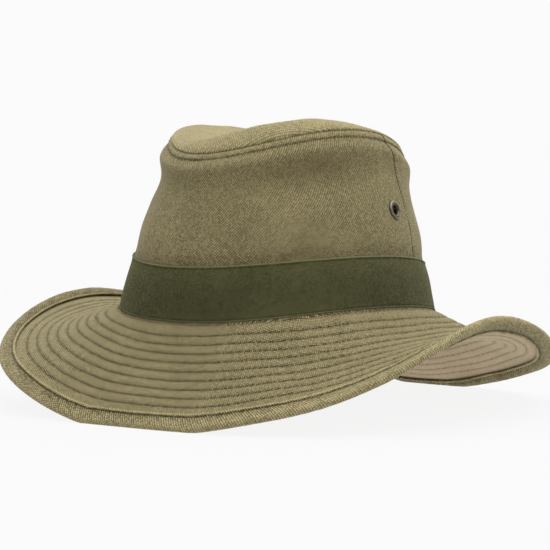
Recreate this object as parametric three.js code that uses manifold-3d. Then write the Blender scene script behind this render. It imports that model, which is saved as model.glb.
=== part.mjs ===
// A bush hat in cotton canvas: an oval tip and two side panels make the crown, a flat band runs round
// its foot, and a two-layer brim with a bound edge rolls up at the sides and dips at front and back.
// Millimetres, +Z up. The front of the hat faces -Y and the wearer's left is +X. The hat stands on the
// ground, z = 0, on the lowest stretches of its brim at front and back.
import * as THREE from "three";
import { mergeVertices } from "three/addons/utils/BufferGeometryUtils.js";
import Module from "manifold-3d";

// ---------------------------------------------------------------- driving dimensions

const STEPS_ROUND = 48; // steps round the head, one every 7.5 degrees
const SEAM_STEP = 14; // the side seams lie this many steps from the middle of the front
const FOOT_HEIGHT = 56.0; // the foot of the crown above the ground, on average
const GAP = 0.3; // clearance between neighbouring pieces

// Ovals that the crown passes through, from foot to tip. Each is an ellipse of half length and half width,
// shifted backwards, narrowed towards one end (egg) and squared or rounded (squareX, squareY), whose height
// tilts from back to front (tilt), lifts at the sides (saddle, negative), leans sideways (lean) and lifts
// at two opposite corners (twist).
const FOOT = {
  halfLength: 105.5, halfWidth: 87, shift: 0, egg: 0.02, squareX: 0.03, squareY: -0.08,
  height: 0, tilt: 3.5, saddle: -5.5, lean: 0, twist: 0,
};
const BAND_TOP = {
  halfLength: 97.5, halfWidth: 80.5, shift: 1, egg: 0.02, squareX: 0, squareY: 0,
  height: 31, tilt: 4.5, saddle: -5, lean: 0, twist: 0,
};
const TIP_SEAM = {
  halfLength: 79, halfWidth: 62, shift: 3.5, egg: -0.08, squareX: 0, squareY: 0,
  height: 97.5, tilt: 6.5, saddle: -10.5, lean: -1, twist: 1,
};

const CROWN_WALL = 1.6; // canvas with its seam allowances
const TOP_BEVEL = 0.8; // the side's top edge slopes inwards, as the tip above it does
const WALL_BELOW_FOOT = 2.6; // turn-down of the crown inside the brim's opening
const BAND_WALL = 1.2;
const BAND_STANDOFF = BAND_WALL + GAP; // from the crown's cloth to the band's outer face

// Relief of the crown's sides, outwards from the straight line between band and tip seam. "at" and "spread"
// are shares of that line's height, "angle" and "sweep" are degrees round from the middle of the front.
// The pinch is deep on the wearer's left and all but gone on the right.
const PINCH = { left: 7, right: 0.5, at: 0.63, spread: 0.125, angle: 54, sweep: 25 };
const SHOULDER = { front: 4.2, back: 3.0, at: 0.89, spread: 0.13 };
const SWELL = { depth: 1.2, at: 0.24, spread: 0.17 };
const FELL = { width: 3.4, rise: 0.7 }; // raised fold of the seam below the tip
const SIDE_FELL = { width: 6, rise: 0.6 }; // raised fold behind each side seam

// Relief of the tip: it arches from its seam up to a crest and dents in the middle. "crest" is the share of
// the way from the seam to the centre, less at the front (crestFront), and "keen" how much of a ridge the
// crest is. The rise is more beside the pinches (corners), on the left (slant), at front and back (ends) and
// at two opposite corners (twist).
const TIP = {
  wall: 1.6, crest: 0.2, crestFront: -0.07, keen: 0.5, dent: 1.3,
  rise: 5.5, corners: -0.5, slant: 2.5, ends: 1, twist: 3.5,
};

const BRIM = { width: 76.5, layer: 1.0 };
const BRIM_THICKNESS = 2 * BRIM.layer + GAP;
const BRIM_INSET = BAND_STANDOFF - GAP; // the brim's opening clears the crown's cloth
// Sections of the brim at even steps round the head, from the middle of the front towards the wearer's left.
// Each has the slope of the cloth, in degrees, where it leaves the foot of the crown and at its edge.
const BRIM_SECTIONS = [
  { at: "front", foot: -50, edge: -46 },
  { at: "front left", foot: -50, edge: -23 },
  { at: "left", foot: -48, edge: 45 },
  { at: "back left", foot: -27, edge: -22 },
  { at: "back", foot: -50, edge: -28 },
  { at: "back right", foot: -40, edge: 0 },
  { at: "right", foot: -30, edge: 29 },
  { at: "front right", foot: -27, edge: -20 },
];
const EDGE_REST = -55.8; // the edge is flattened no lower than this below the foot's average height

// The binding's two legs, its raised inner fold and the groove of its stitching, measured from the edge.
const BINDING = { wall: 1.0, width: 11.2, fold: 1.9, foldRise: 0.5, groove: 0.25 };

const EYELET = {
  angle: 98, height: 0.375, hole: 2.5, barrel: 3.2, flange: 5.7, washer: 4.7, plate: 0.8, dome: 0.5,
  sides: 14,
};

// ---------------------------------------------------------------- shape of the hat

const radians = (degrees) => THREE.MathUtils.degToRad(degrees);
const lerp = THREE.MathUtils.lerp;
const hump = (value, at, spread) => Math.exp(-(((value - at) / spread) ** 2));

/** Angle round the head of one step, 0 in the middle of the front, growing towards the wearer's left. */
const stepAngle = (step) => (step * 2 * Math.PI) / STEPS_ROUND;

/** Height of the sheet stretched over an oval at a share of the way from its centre (0) to the oval (1). */
function ovalHeight(oval, angle, share) {
  const once = oval.tilt * Math.cos(angle) + oval.lean * Math.sin(angle);
  const twice = oval.saddle * Math.cos(2 * angle) + oval.twist * Math.sin(2 * angle);
  return oval.height + share * once + share * share * twice;
}

/** Point of an oval at an angle round the head. */
function ovalPoint(oval, angle) {
  const once = Math.cos(angle);
  const twice = Math.cos(2 * angle);
  return new THREE.Vector3(
    oval.halfWidth * Math.sin(angle) * (1 + oval.egg * once + oval.squareX * twice),
    oval.shift - oval.halfLength * once * (1 + oval.squareY * twice),
    ovalHeight(oval, angle, 1),
  );
}

/** Level unit vector that points out of an oval, square to it in plan. */
function outward(oval, angle) {
  const ahead = ovalPoint(oval, angle + 0.001);
  const along = ahead.sub(ovalPoint(oval, angle - 0.001));
  return new THREE.Vector3(along.y, -along.x, 0).normalize();
}

/** Degrees between an angle round the head and the middle of the front, 0 to 180. */
function degreesFromFront(angle) {
  return THREE.MathUtils.radToDeg(Math.acos(Math.cos(angle)));
}

/** How far the crown's side stands out from the straight line between band (0) and tip seam (1). */
function sideRelief(angle, share) {
  const turn = degreesFromFront(angle);
  const depth = lerp(PINCH.right, PINCH.left, (1 + Math.sin(angle)) / 2);
  const pinch = depth * hump(share, PINCH.at, PINCH.spread) * hump(turn, PINCH.angle, PINCH.sweep);
  const shoulder = lerp(SHOULDER.front, SHOULDER.back, THREE.MathUtils.smoothstep(turn, 30, 120));
  const edge = THREE.MathUtils.smoothstep(1 - share, 0, 0.15);
  const round = shoulder * hump(share, SHOULDER.at, SHOULDER.spread) * edge;
  const swell = SWELL.depth * hump(share, SWELL.at, SWELL.spread) * Math.min(1, share / 0.1);
  return swell + round - pinch;
}

/** Outer face of the crown's side at a share of the way from the band's top (0) to the tip seam (1). */
function sidePoint(angle, share) {
  const low = ovalPoint(BAND_TOP, angle).addScaledVector(outward(BAND_TOP, angle), -BAND_STANDOFF);
  const high = ovalPoint(TIP_SEAM, angle);
  const out = outward(BAND_TOP, angle).lerp(outward(TIP_SEAM, angle), share).normalize();
  return low.lerp(high, share).addScaledVector(out, sideRelief(angle, share));
}

/** Share of the way from the seam to the centre where the tip's crest lies. */
function tipCrest(angle) {
  return TIP.crest + TIP.crestFront * Math.cos(angle + 0.3);
}

/** Rise of the tip, as a share of its full rise, at a share of the way in from the seam (0 to 1). */
function tipProfile(angle, inwards) {
  const crest = tipCrest(angle);
  const up = Math.min(inwards / crest, 1);
  const down = Math.max(0, (inwards - crest) / (1 - crest));
  const arch = lerp(Math.sin((Math.PI / 2) * up), up, TIP.keen);
  const dent = lerp((1 - Math.cos(Math.PI * down)) / 2, Math.sin((Math.PI / 2) * down), TIP.keen);
  return arch - TIP.dent * dent;
}

/** Top face of the tip at a share of the way from its centre (0) to its seam (1). */
function tipPoint(angle, share) {
  const seam = ovalPoint(TIP_SEAM, angle);
  const twice = TIP.ends * Math.cos(2 * angle) + TIP.twist * Math.sin(2 * angle);
  const corners = TIP.corners * share ** 4 * Math.cos(4 * angle);
  const rise = TIP.rise + TIP.slant * share * Math.sin(angle) + share * share * twice + corners;
  return new THREE.Vector3(
    seam.x * share,
    lerp(TIP_SEAM.shift, seam.y, share),
    ovalHeight(TIP_SEAM, angle, share) + GAP + TIP.wall + rise * tipProfile(angle, 1 - share),
  );
}

const brimCurve = new THREE.CatmullRomCurve3(
  BRIM_SECTIONS.map(({ foot, edge }) => new THREE.Vector3(foot, edge, 0)),
  true,
  "catmullrom",
);

/** Slope of the brim, in radians: it changes evenly along the cloth from the foot to the edge. */
function brimSlope(angle, along) {
  const turns = THREE.MathUtils.euclideanModulo(angle / (2 * Math.PI), 1);
  const slopes = brimCurve.getPoint(turns);
  return radians(lerp(slopes.x, slopes.y, Math.max(along, 0) / BRIM.width));
}

/** Reach outwards (x) and height (y) of the brim: an arc whose slope changes evenly. */
function brimArc(angle, along) {
  const first = brimSlope(angle, 0);
  const half = (brimSlope(angle, along) - first) / 2;
  const chord = Math.abs(half) < 1e-6 ? along : (along * Math.sin(half)) / half;
  return new THREE.Vector2(chord * Math.cos(first + half), chord * Math.sin(first + half));
}

/** Lift that flattens the lowest stretches of the edge where the hat rests on them. */
function restLift(angle, along) {
  const edge = ovalPoint(FOOT, angle).z + brimArc(angle, BRIM.width).y;
  return Math.max(0, EDGE_REST - edge) * Math.max(0, along / BRIM.width) ** 3;
}

/** Point of the brim at a distance along the cloth, raised square to it from its middle layer line. */
function brimPoint(angle, along, raised) {
  const out = outward(FOOT, angle);
  const arc = brimArc(angle, along);
  const slope = brimSlope(angle, along);
  const middle = (BRIM_THICKNESS / 2) * (along / BRIM.width - 1);
  const lift = middle + raised;
  return ovalPoint(FOOT, angle)
    .addScaledVector(out, arc.x - lift * Math.sin(slope))
    .add(new THREE.Vector3(0, 0, arc.y + lift * Math.cos(slope) + restLift(angle, along)));
}

/**
 * The same at the brim's opening, whose end face is upright and BRIM_INSET inside the foot oval. It lies on
 * the straight line through the points at the foot and at the next row, so that the band clears it.
 */
function brimInnerPoint(angle, raised, nextRow) {
  const foot = brimPoint(angle, 0, raised);
  const next = brimPoint(angle, nextRow, raised);
  const out = outward(FOOT, angle);
  const inwards = BRIM_INSET + foot.clone().sub(ovalPoint(FOOT, angle)).dot(out);
  return foot.clone().addScaledVector(next.clone().sub(foot), -inwards / next.sub(foot).dot(out));
}

// ---------------------------------------------------------------- making solids

const group = new THREE.Group();
const wasm = await Module();
wasm.setup();

const canvas = new THREE.MeshStandardMaterial({ color: 0x8a8259, roughness: 0.9, metalness: 0 });
const bandTwill = new THREE.MeshStandardMaterial({ color: 0x4b4a30, roughness: 0.9, metalness: 0 });
const underCanvas = new THREE.MeshStandardMaterial({ color: 0x9a8a6c, roughness: 0.9, metalness: 0 });
const brass = new THREE.MeshStandardMaterial({ color: 0x55503f, roughness: 0.4, metalness: 1 });

/** Adds one named piece to the hat. */
function addPiece(name, geometry, material) {
  const mesh = new THREE.Mesh(geometry, material);
  mesh.name = name;
  group.add(mesh);
}

/** Raises a point from the foot's height to its place above the ground, and never below the ground. */
function aboveGround(point) {
  return [point.x, point.y, Math.max(0, point.z + FOOT_HEIGHT)];
}

/**
 * Closed solid between an outer and an inner face. Both faces are functions of a column and a row. The
 * columns run round the head and the rows run so that column x row points out of the outer face. A closed
 * shell joins its last column to its first, and a poled one has a single point at row 0. With
 * highSplit each facet is split along its higher diagonal, so that faces whose rows run opposite ways keep
 * their clearance where the cloth is twisted.
 */
function shell({ columns, rows, outer, inner, closed, poled = false, highSplit = false }) {
  const positions = [];
  const triangles = [];
  const stride = closed ? columns : columns + 1;
  const faceStart = [0, stride * (rows + 1)];
  for (const face of [outer, inner])
    for (let column = 0; column < stride; column += 1)
      for (let row = 0; row <= rows; row += 1) positions.push(...aboveGround(face(column, row)));
  const vertex = (face, column, row) => {
    const shared = poled && row === 0 ? 0 : column % stride;
    return faceStart[face] + shared * (rows + 1) + row;
  };
  const triangle = (a, b, c) => {
    if (a !== b && b !== c && c !== a) triangles.push(a, b, c);
  };
  const height = (corner) => positions[3 * corner + 2];
  const quad = (a, b, c, d) => {
    const kept = !highSplit || height(a) + height(c) >= height(b) + height(d);
    const [p, q, r, s] = kept ? [a, b, c, d] : [b, c, d, a];
    triangle(p, q, r);
    triangle(p, r, s);
  };
  for (let column = 0; column < columns; column += 1) {
    const next = column + 1;
    for (let row = 0; row < rows; row += 1) {
      const up = row + 1;
      quad(vertex(0, column, row), vertex(0, next, row), vertex(0, next, up), vertex(0, column, up));
      quad(vertex(1, column, row), vertex(1, column, up), vertex(1, next, up), vertex(1, next, row));
    }
    if (!poled) quad(vertex(1, column, 0), vertex(1, next, 0), vertex(0, next, 0), vertex(0, column, 0));
    quad(vertex(0, column, rows), vertex(0, next, rows), vertex(1, next, rows), vertex(1, column, rows));
  }
  if (!closed)
    for (let row = 0; row < rows; row += 1) {
      quad(vertex(1, 0, row), vertex(0, 0, row), vertex(0, 0, row + 1), vertex(1, 0, row + 1));
      quad(
        vertex(0, columns, row), vertex(1, columns, row),
        vertex(1, columns, row + 1), vertex(0, columns, row + 1),
      );
    }
  const geometry = new THREE.BufferGeometry();
  geometry.setAttribute("position", new THREE.Float32BufferAttribute(positions, 3));
  geometry.setIndex(triangles);
  return geometry;
}

/** A geometry as a solid that can be cut. */
function solidOf(geometry) {
  const bare = geometry.clone();
  bare.deleteAttribute("normal");
  bare.deleteAttribute("uv");
  const merged = mergeVertices(bare, 1e-4);
  return new wasm.Manifold(
    new wasm.Mesh({
      numProp: 3,
      vertProperties: merged.attributes.position.array,
      triVerts: new Uint32Array(merged.index.array),
    }),
  );
}

/** A cut solid back as a geometry. */
function geometryOf(solid) {
  const mesh = solid.getMesh();
  const geometry = new THREE.BufferGeometry();
  geometry.setAttribute("position", new THREE.Float32BufferAttribute(mesh.vertProperties, 3));
  geometry.setIndex(new THREE.BufferAttribute(mesh.triVerts, 1));
  return geometry;
}

// ---------------------------------------------------------------- crown

const FELL_SHARE = 1 - FELL.width / (TIP_SEAM.height - BAND_TOP.height);
const SIDE_SHARES = [0, 0.15, 0.31, 0.46, 0.59, 0.71, 0.83, FELL_SHARE, FELL_SHARE + 0.01, 1];
const BAND_SHARES = [0, 0.5, 1]; // rows that the crown and the band share
const SIDE_ROWS = SIDE_SHARES.length + BAND_SHARES.length - 1; // with the turn-down below the foot

/** The crown or the band at a share of the band's height, set in from the band's outer face. */
function footPoint(angle, share, depth) {
  const low = ovalPoint(FOOT, angle).addScaledVector(outward(FOOT, angle), -depth);
  const high = ovalPoint(BAND_TOP, angle).addScaledVector(outward(BAND_TOP, angle), -depth);
  return low.lerp(high, share);
}

/** A face of the crown's side, set in from the outer face by a depth, at a row from the turn-down up. */
function crownSidePoint(angle, row, rise, depth) {
  const above = row - BAND_SHARES.length;
  if (above < 0) {
    const share = row === 0 ? 0 : BAND_SHARES[row - 1];
    const drop = row === 0 ? WALL_BELOW_FOOT : 0;
    return footPoint(angle, share, BAND_STANDOFF + depth).add(new THREE.Vector3(0, 0, -drop));
  }
  const share = SIDE_SHARES[above];
  const out = outward(BAND_TOP, angle).lerp(outward(TIP_SEAM, angle), share).normalize();
  const fold = share > FELL_SHARE ? FELL.rise : 0;
  const raised = above === 0 ? 0 : Math.max(rise, fold);
  const bevel = share === 1 && depth > 0 ? TOP_BEVEL : 0;
  return sidePoint(angle, share)
    .addScaledVector(out, depth > 0 ? -depth : raised)
    .add(new THREE.Vector3(0, 0, -bevel));
}

/** Side panel whose columns stand at given angles, each with the rise of the cloth there. */
function sidePanel(columns) {
  return shell({
    columns: columns.length - 1,
    rows: SIDE_ROWS,
    closed: false,
    outer: (column, row) => crownSidePoint(columns[column].angle, row, columns[column].rise, 0),
    inner: (column, row) => crownSidePoint(columns[column].angle, row, 0, CROWN_WALL),
  });
}

const seamAngle = stepAngle(SEAM_STEP);
const seamRadius = BAND_TOP.halfWidth; // the crown's radius at the side seams, near enough for short arcs
const halfGap = GAP / 2 / TIP_SEAM.halfWidth;

/** Columns of a panel from one angle to another, with a given column first and its mirror image last. */
function columnsBetween(firstStep, lastStep, edgeColumns) {
  const middle = [];
  for (let step = firstStep; step <= lastStep; step += 1) middle.push({ angle: stepAngle(step), rise: 0 });
  const total = stepAngle(firstStep + lastStep);
  const mirrored = edgeColumns.map(({ angle, rise }) => ({ angle: total - angle, rise })).reverse();
  return [...edgeColumns, ...middle, ...mirrored];
}

const frontEdge = [{ angle: -seamAngle + halfGap, rise: 0 }];
const frontColumns = columnsBetween(1 - SEAM_STEP, SEAM_STEP - 1, frontEdge);
const backColumns = columnsBetween(SEAM_STEP + 2, STEPS_ROUND - SEAM_STEP - 2, [
  { angle: seamAngle + halfGap, rise: SIDE_FELL.rise },
  { angle: seamAngle + (SIDE_FELL.width - 1) / seamRadius, rise: SIDE_FELL.rise },
  { angle: seamAngle + SIDE_FELL.width / seamRadius, rise: 0 },
]);

/** Where an eyelet sits: the point on the cloth and the direction square out of it. */
function eyeletSeat(side) {
  const angle = side * radians(EYELET.angle);
  const place = sidePoint(angle, EYELET.height);
  const along = sidePoint(angle + 0.01, EYELET.height).sub(sidePoint(angle - 0.01, EYELET.height));
  const up = sidePoint(angle, EYELET.height + 0.01).sub(sidePoint(angle, EYELET.height - 0.01));
  place.z += FOOT_HEIGHT;
  return { place, axis: along.cross(up).normalize() };
}

/** Stands a geometry made along +Y on a seat. */
function standOn(geometry, { place, axis }) {
  const turn = new THREE.Quaternion().setFromUnitVectors(new THREE.Vector3(0, 1, 0), axis);
  return geometry.applyQuaternion(turn).translate(place.x, place.y, place.z);
}

/** The front panel with a hole for each eyelet's barrel. */
function makeFrontPanel() {
  let panel = solidOf(sidePanel(frontColumns));
  for (const side of [-1, 1]) {
    const radius = EYELET.barrel + GAP;
    const drill = new THREE.CylinderGeometry(radius, radius, 6 * CROWN_WALL, EYELET.sides);
    panel = panel.subtract(solidOf(standOn(drill, eyeletSeat(side))));
  }
  return geometryOf(panel);
}

/** Rolled metal ring: a domed flange outside the cloth, a barrel through it and a flatter washer inside. */
function makeEyelet(side) {
  const inside = -CROWN_WALL - GAP;
  const profile = [
    [EYELET.hole, inside - EYELET.plate],
    [EYELET.washer, inside - EYELET.plate],
    [EYELET.washer, inside],
    [EYELET.barrel, inside],
    [EYELET.barrel, GAP],
    [EYELET.flange, GAP],
    [EYELET.flange - EYELET.dome, GAP + EYELET.plate],
    [(EYELET.flange + EYELET.hole) / 2, GAP + EYELET.plate + EYELET.dome],
    [EYELET.hole, GAP + EYELET.plate / 2],
    [EYELET.hole, inside - EYELET.plate],
  ].map(([radius, height]) => new THREE.Vector2(radius, height));
  return standOn(new THREE.LatheGeometry(profile, EYELET.sides), eyeletSeat(side));
}

const TIP_ROWS = 5;

/** Share of the way from the tip's centre to its seam at a row: two rows inside the crest, one outside. */
function tipShare(angle, row) {
  const crest = tipCrest(angle);
  return [0, 0.4 * (1 - crest), 0.75 * (1 - crest), 1 - crest, 1 - crest / 2, 1][row];
}

/** Oval tip: a sheet of even upright thickness from its centre out to its seam. */
function makeTip() {
  const top = (column, row) => tipPoint(stepAngle(column), tipShare(stepAngle(column), row));
  return shell({
    columns: STEPS_ROUND,
    rows: TIP_ROWS,
    closed: true,
    poled: true,
    outer: (column, row) => top(column, row).add(new THREE.Vector3(0, 0, -TIP.wall)),
    inner: top,
  });
}

// ---------------------------------------------------------------- band

/** A face of the band at a row, set in from its outer face and clear of the brim's slope below it. */
function bandPoint(angle, row, depth) {
  const slope = brimSlope(angle, 0);
  const clearance = row === 0 ? GAP / Math.cos(slope) - depth * Math.tan(slope) : 0;
  return footPoint(angle, BAND_SHARES[row], depth).add(new THREE.Vector3(0, 0, clearance));
}

/** Band round the foot of the crown. */
function makeBand() {
  return shell({
    columns: STEPS_ROUND,
    rows: BAND_SHARES.length - 1,
    closed: true,
    outer: (column, row) => bandPoint(stepAngle(column), row, 0),
    inner: (column, row) => bandPoint(stepAngle(column), row, BAND_WALL),
  });
}

// ---------------------------------------------------------------- brim

const EDGE_RADIUS = BRIM_THICKNESS / 2 + GAP + BINDING.wall; // of the binding's rounded outer edge
const LEG_STITCHING = BINDING.width - BINDING.fold - BINDING.foldRise; // in from the edge
const OPEN_ROWS = 4; // of a layer between the brim's opening and the binding
const COVERED_ROWS = [LEG_STITCHING, EDGE_RADIUS]; // of a layer under the binding, in from the edge

/** One cloth layer of the brim between two heights square to the cloth, from its opening to the binding. */
function makeLayer(low, high) {
  const face = (column, row, raised) => {
    const angle = stepAngle(column);
    const openRow = (BRIM.width - BINDING.width) / OPEN_ROWS;
    if (row === 0) return brimInnerPoint(angle, raised, openRow);
    const along = row > OPEN_ROWS ? BRIM.width - COVERED_ROWS[row - OPEN_ROWS - 1] : row * openRow;
    return brimPoint(angle, along, raised);
  };
  return shell({
    columns: STEPS_ROUND,
    rows: OPEN_ROWS + COVERED_ROWS.length,
    closed: true,
    highSplit: true,
    outer: (column, row) => face(column, row, low),
    inner: (column, row) => face(column, row, high),
  });
}

/** The binding's section on one side, as distances in from the edge and heights of its two faces. */
const BINDING_LEG = [
  { inFromEdge: BINDING.width, outer: EDGE_RADIUS + BINDING.foldRise },
  { inFromEdge: BINDING.width - BINDING.fold, outer: EDGE_RADIUS + BINDING.foldRise },
  { inFromEdge: LEG_STITCHING, outer: EDGE_RADIUS - BINDING.groove },
].map((row) => ({ ...row, inner: EDGE_RADIUS - BINDING.wall }));

const ARC_STEPS = 4; // of the rounded edge, from the lower leg to the upper one

/** Rows of the binding from its lower leg round the edge to its upper leg. */
function bindingRows() {
  const side = (sign) => ({ inFromEdge, outer, inner }) => ({
    outer: [inFromEdge, sign * outer],
    inner: [inFromEdge, sign * inner],
  });
  const arc = [];
  for (let step = 0; step <= ARC_STEPS; step += 1) {
    const turn = (Math.PI * step) / ARC_STEPS;
    const at = (radius) => [EDGE_RADIUS - radius * Math.sin(turn), -radius * Math.cos(turn)];
    arc.push({ outer: at(EDGE_RADIUS), inner: at(EDGE_RADIUS - BINDING.wall) });
  }
  return [...BINDING_LEG.map(side(-1)), ...arc, ...BINDING_LEG.map(side(1)).reverse()];
}

/** Strip of cloth folded over the brim's edge. */
function makeBinding() {
  const rows = bindingRows();
  const face = (column, [inFromEdge, raised]) => {
    const angle = stepAngle(column);
    return brimPoint(angle, BRIM.width - inFromEdge, raised);
  };
  return shell({
    columns: STEPS_ROUND,
    rows: rows.length - 1,
    closed: true,
    highSplit: true,
    outer: (column, row) => face(column, rows[row].outer),
    inner: (column, row) => face(column, rows[row].inner),
  });
}

// ---------------------------------------------------------------- the hat

addPiece("crown_tip", makeTip(), canvas);
addPiece("crown_side_front", makeFrontPanel(), canvas);
addPiece("crown_side_back", sidePanel(backColumns), canvas);
addPiece("hat_band", makeBand(), bandTwill);
addPiece("brim_top", makeLayer(BRIM_THICKNESS / 2 - BRIM.layer, BRIM_THICKNESS / 2), canvas);
addPiece("brim_underside", makeLayer(-BRIM_THICKNESS / 2, BRIM.layer - BRIM_THICKNESS / 2), underCanvas);
addPiece("brim_binding", makeBinding(), canvas);
addPiece("eyelet_left", makeEyelet(1), brass);
addPiece("eyelet_right", makeEyelet(-1), brass);

// The hat's own axis is the middle of its outline seen from above.
const middle = new THREE.Box3().setFromObject(group).getCenter(new THREE.Vector3());
group.position.set(-middle.x, -middle.y, 0);

export default group;
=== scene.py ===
"""Looks of a cotton canvas bush hat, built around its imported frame.

The hat's form is worked out in millimetres from a few ovals and slopes. Each piece is then a surface in
two parameters: an angle round the head and a distance along the cloth. Finished meshes are in metres.
The front of the hat faces -Y, the wearer's left is +X and the hat stands on the ground, z = 0.
"""

import logging
import math
from dataclasses import dataclass, field, replace
from enum import Enum

import bmesh
import bpy
import numpy as np
from mathutils import Matrix, Vector


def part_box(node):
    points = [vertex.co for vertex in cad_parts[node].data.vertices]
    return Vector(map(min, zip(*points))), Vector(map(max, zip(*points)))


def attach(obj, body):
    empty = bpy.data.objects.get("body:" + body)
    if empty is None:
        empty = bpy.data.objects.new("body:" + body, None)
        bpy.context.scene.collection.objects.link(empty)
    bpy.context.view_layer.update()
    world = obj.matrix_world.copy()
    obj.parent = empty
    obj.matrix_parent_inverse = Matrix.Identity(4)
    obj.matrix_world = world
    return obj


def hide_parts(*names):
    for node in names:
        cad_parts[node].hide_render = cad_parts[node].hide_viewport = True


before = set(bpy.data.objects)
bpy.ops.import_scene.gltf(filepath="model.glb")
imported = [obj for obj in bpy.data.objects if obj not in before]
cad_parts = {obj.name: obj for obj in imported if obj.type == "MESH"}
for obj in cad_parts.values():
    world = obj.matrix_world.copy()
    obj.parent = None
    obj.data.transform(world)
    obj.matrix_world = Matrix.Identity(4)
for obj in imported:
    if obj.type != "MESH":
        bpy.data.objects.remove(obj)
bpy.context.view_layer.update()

LOG = logging.getLogger("bush_hat")
MM = 0.001  # metres in a millimetre
TURN = 2 * math.pi

Array = np.ndarray


# ------------------------------------------------------------------------------------------ small tools


def smoothstep(value: Array, low: float, high: float) -> Array:
    """Blend from 0 at low to 1 at high that starts and ends level.

    Args:
        value: where to take the blend.
        low: value where it leaves 0.
        high: value where it reaches 1.

    Returns:
        3t^2 - 2t^3, with t the share of the way from low to high.
    """
    share = np.clip((value - low) / (high - low), 0, 1)
    return share * share * (3 - 2 * share)


def hump(value: Array, at: float, spread: float) -> Array:
    """Bell exp(-((value - at) / spread)^2), 1 at its middle."""
    return np.exp(-(((value - at) / spread) ** 2))


def unit(vectors: Array) -> Array:
    """Vectors divided by their lengths."""
    return vectors / np.linalg.norm(vectors, axis=-1, keepdims=True)


def straight_up(height: Array) -> Array:
    """Upright vectors of some heights."""
    return np.stack([0 * height, 0 * height, height], -1)


def linked(name: str, data: bpy.types.ID) -> bpy.types.Object:
    """Makes an object and puts it in the scene.

    Args:
        name: the object's name.
        data: its mesh, light or camera.

    Returns:
        The object.
    """
    made = bpy.data.objects.new(name, data)
    bpy.context.scene.collection.objects.link(made)
    return made


def mix(low: Array, high: Array, share: Array) -> Array:
    """Point at a share of the way from low to high."""
    return low + (high - low) * share


def clouds(points: Array, wavelength: float, seed: int, waves: int = 14) -> Array:
    """Smooth unevenness of cloth, about -1 to 1.

    It is the sum of sine waves of nearly one wavelength that run in random directions through space, so it
    joins up all round the head.

    Args:
        points: places, in millimetres, in the last axis.
        wavelength: typical distance between two high spots, in millimetres.
        seed: which pattern.
        waves: how many waves are summed.

    Returns:
        One value for each place.
    """
    rng = np.random.default_rng(seed)
    directions = unit(rng.normal(size=(waves, 3)))
    numbers = TURN / (wavelength * rng.uniform(0.7, 1.5, waves))
    phases = rng.uniform(0, TURN, waves)
    return np.sin(points @ (directions * numbers[:, None]).T + phases).sum(-1) * math.sqrt(2 / waves) / 1.5


def gathers(angle: Array, fewest: int, most: int, seed: int, waves: int = 12) -> Array:
    """Uneven ripples round the head, about -1 to 1.

    They are the sum of cosines that each go a whole number of times round the head.

    Args:
        angle: angle round the head.
        fewest: fewest ripples in a turn.
        most: most ripples in a turn.
        seed: which pattern.
        waves: how many cosines are summed.

    Returns:
        One value for each angle.
    """
    rng = np.random.default_rng(seed)
    counts = rng.integers(fewest, most, waves)
    phases = rng.uniform(0, TURN, waves)
    return np.cos(angle[..., None] * counts + phases).sum(-1) * math.sqrt(2 / waves) / 1.5


# ------------------------------------------------------------------------------------------ shape


@dataclass(frozen=True)
class Oval:
    """A level or tilted oval round the head, in millimetres.

    It is an ellipse that is shifted backwards, narrowed towards one end (egg), squared or rounded (square_x,
    square_y), tilted from back to front (tilt), lifted at the sides (saddle, negative), leant sideways (lean)
    and lifted at two opposite corners (twist).
    """

    half_length: float
    half_width: float
    shift: float
    height: float
    tilt: float
    saddle: float
    egg: float = 0.0
    square_x: float = 0.0
    square_y: float = 0.0
    lean: float = 0.0
    twist: float = 0.0

    def point(self, angle: Array) -> Array:
        """Point at an angle from the middle of the front towards the wearer's left.

        Args:
            angle: angle round the head.

        Returns:
            x = half_width sin a (1 + egg cos a + square_x cos 2a), y = shift - half_length cos a
            (1 + square_y cos 2a) and z as in level().
        """
        once, twice = np.cos(angle), np.cos(2 * angle)
        x = self.half_width * np.sin(angle) * (1 + self.egg * once + self.square_x * twice)
        y = self.shift - self.half_length * once * (1 + self.square_y * twice)
        return np.stack([x, y, self.level(angle, 1.0)], -1)

    def level(self, angle: Array, share: Array | float) -> Array:
        """Height of the sheet stretched over the oval, at a share of the way from its centre.

        Args:
            angle: angle round the head.
            share: share s of the way from the centre (0) to the oval (1).

        Returns:
            height + s (tilt cos a + lean sin a) + s^2 (saddle cos 2a + twist sin 2a).
        """
        once = self.tilt * np.cos(angle) + self.lean * np.sin(angle)
        twice = self.saddle * np.cos(2 * angle) + self.twist * np.sin(2 * angle)
        return self.height + share * once + share**2 * twice

    def outward(self, angle: Array) -> Array:
        """Level unit vector square to the oval in plan, from the chord between two near points."""
        along = self.point(angle + 0.001) - self.point(angle - 0.001)
        return unit(np.stack([along[..., 1], -along[..., 0], 0 * along[..., 0]], -1))


@dataclass(frozen=True)
class Section:
    """Slopes of the brim's cloth, in degrees, at one place round the head."""

    foot: float  # where it leaves the foot of the crown
    edge: float


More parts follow.
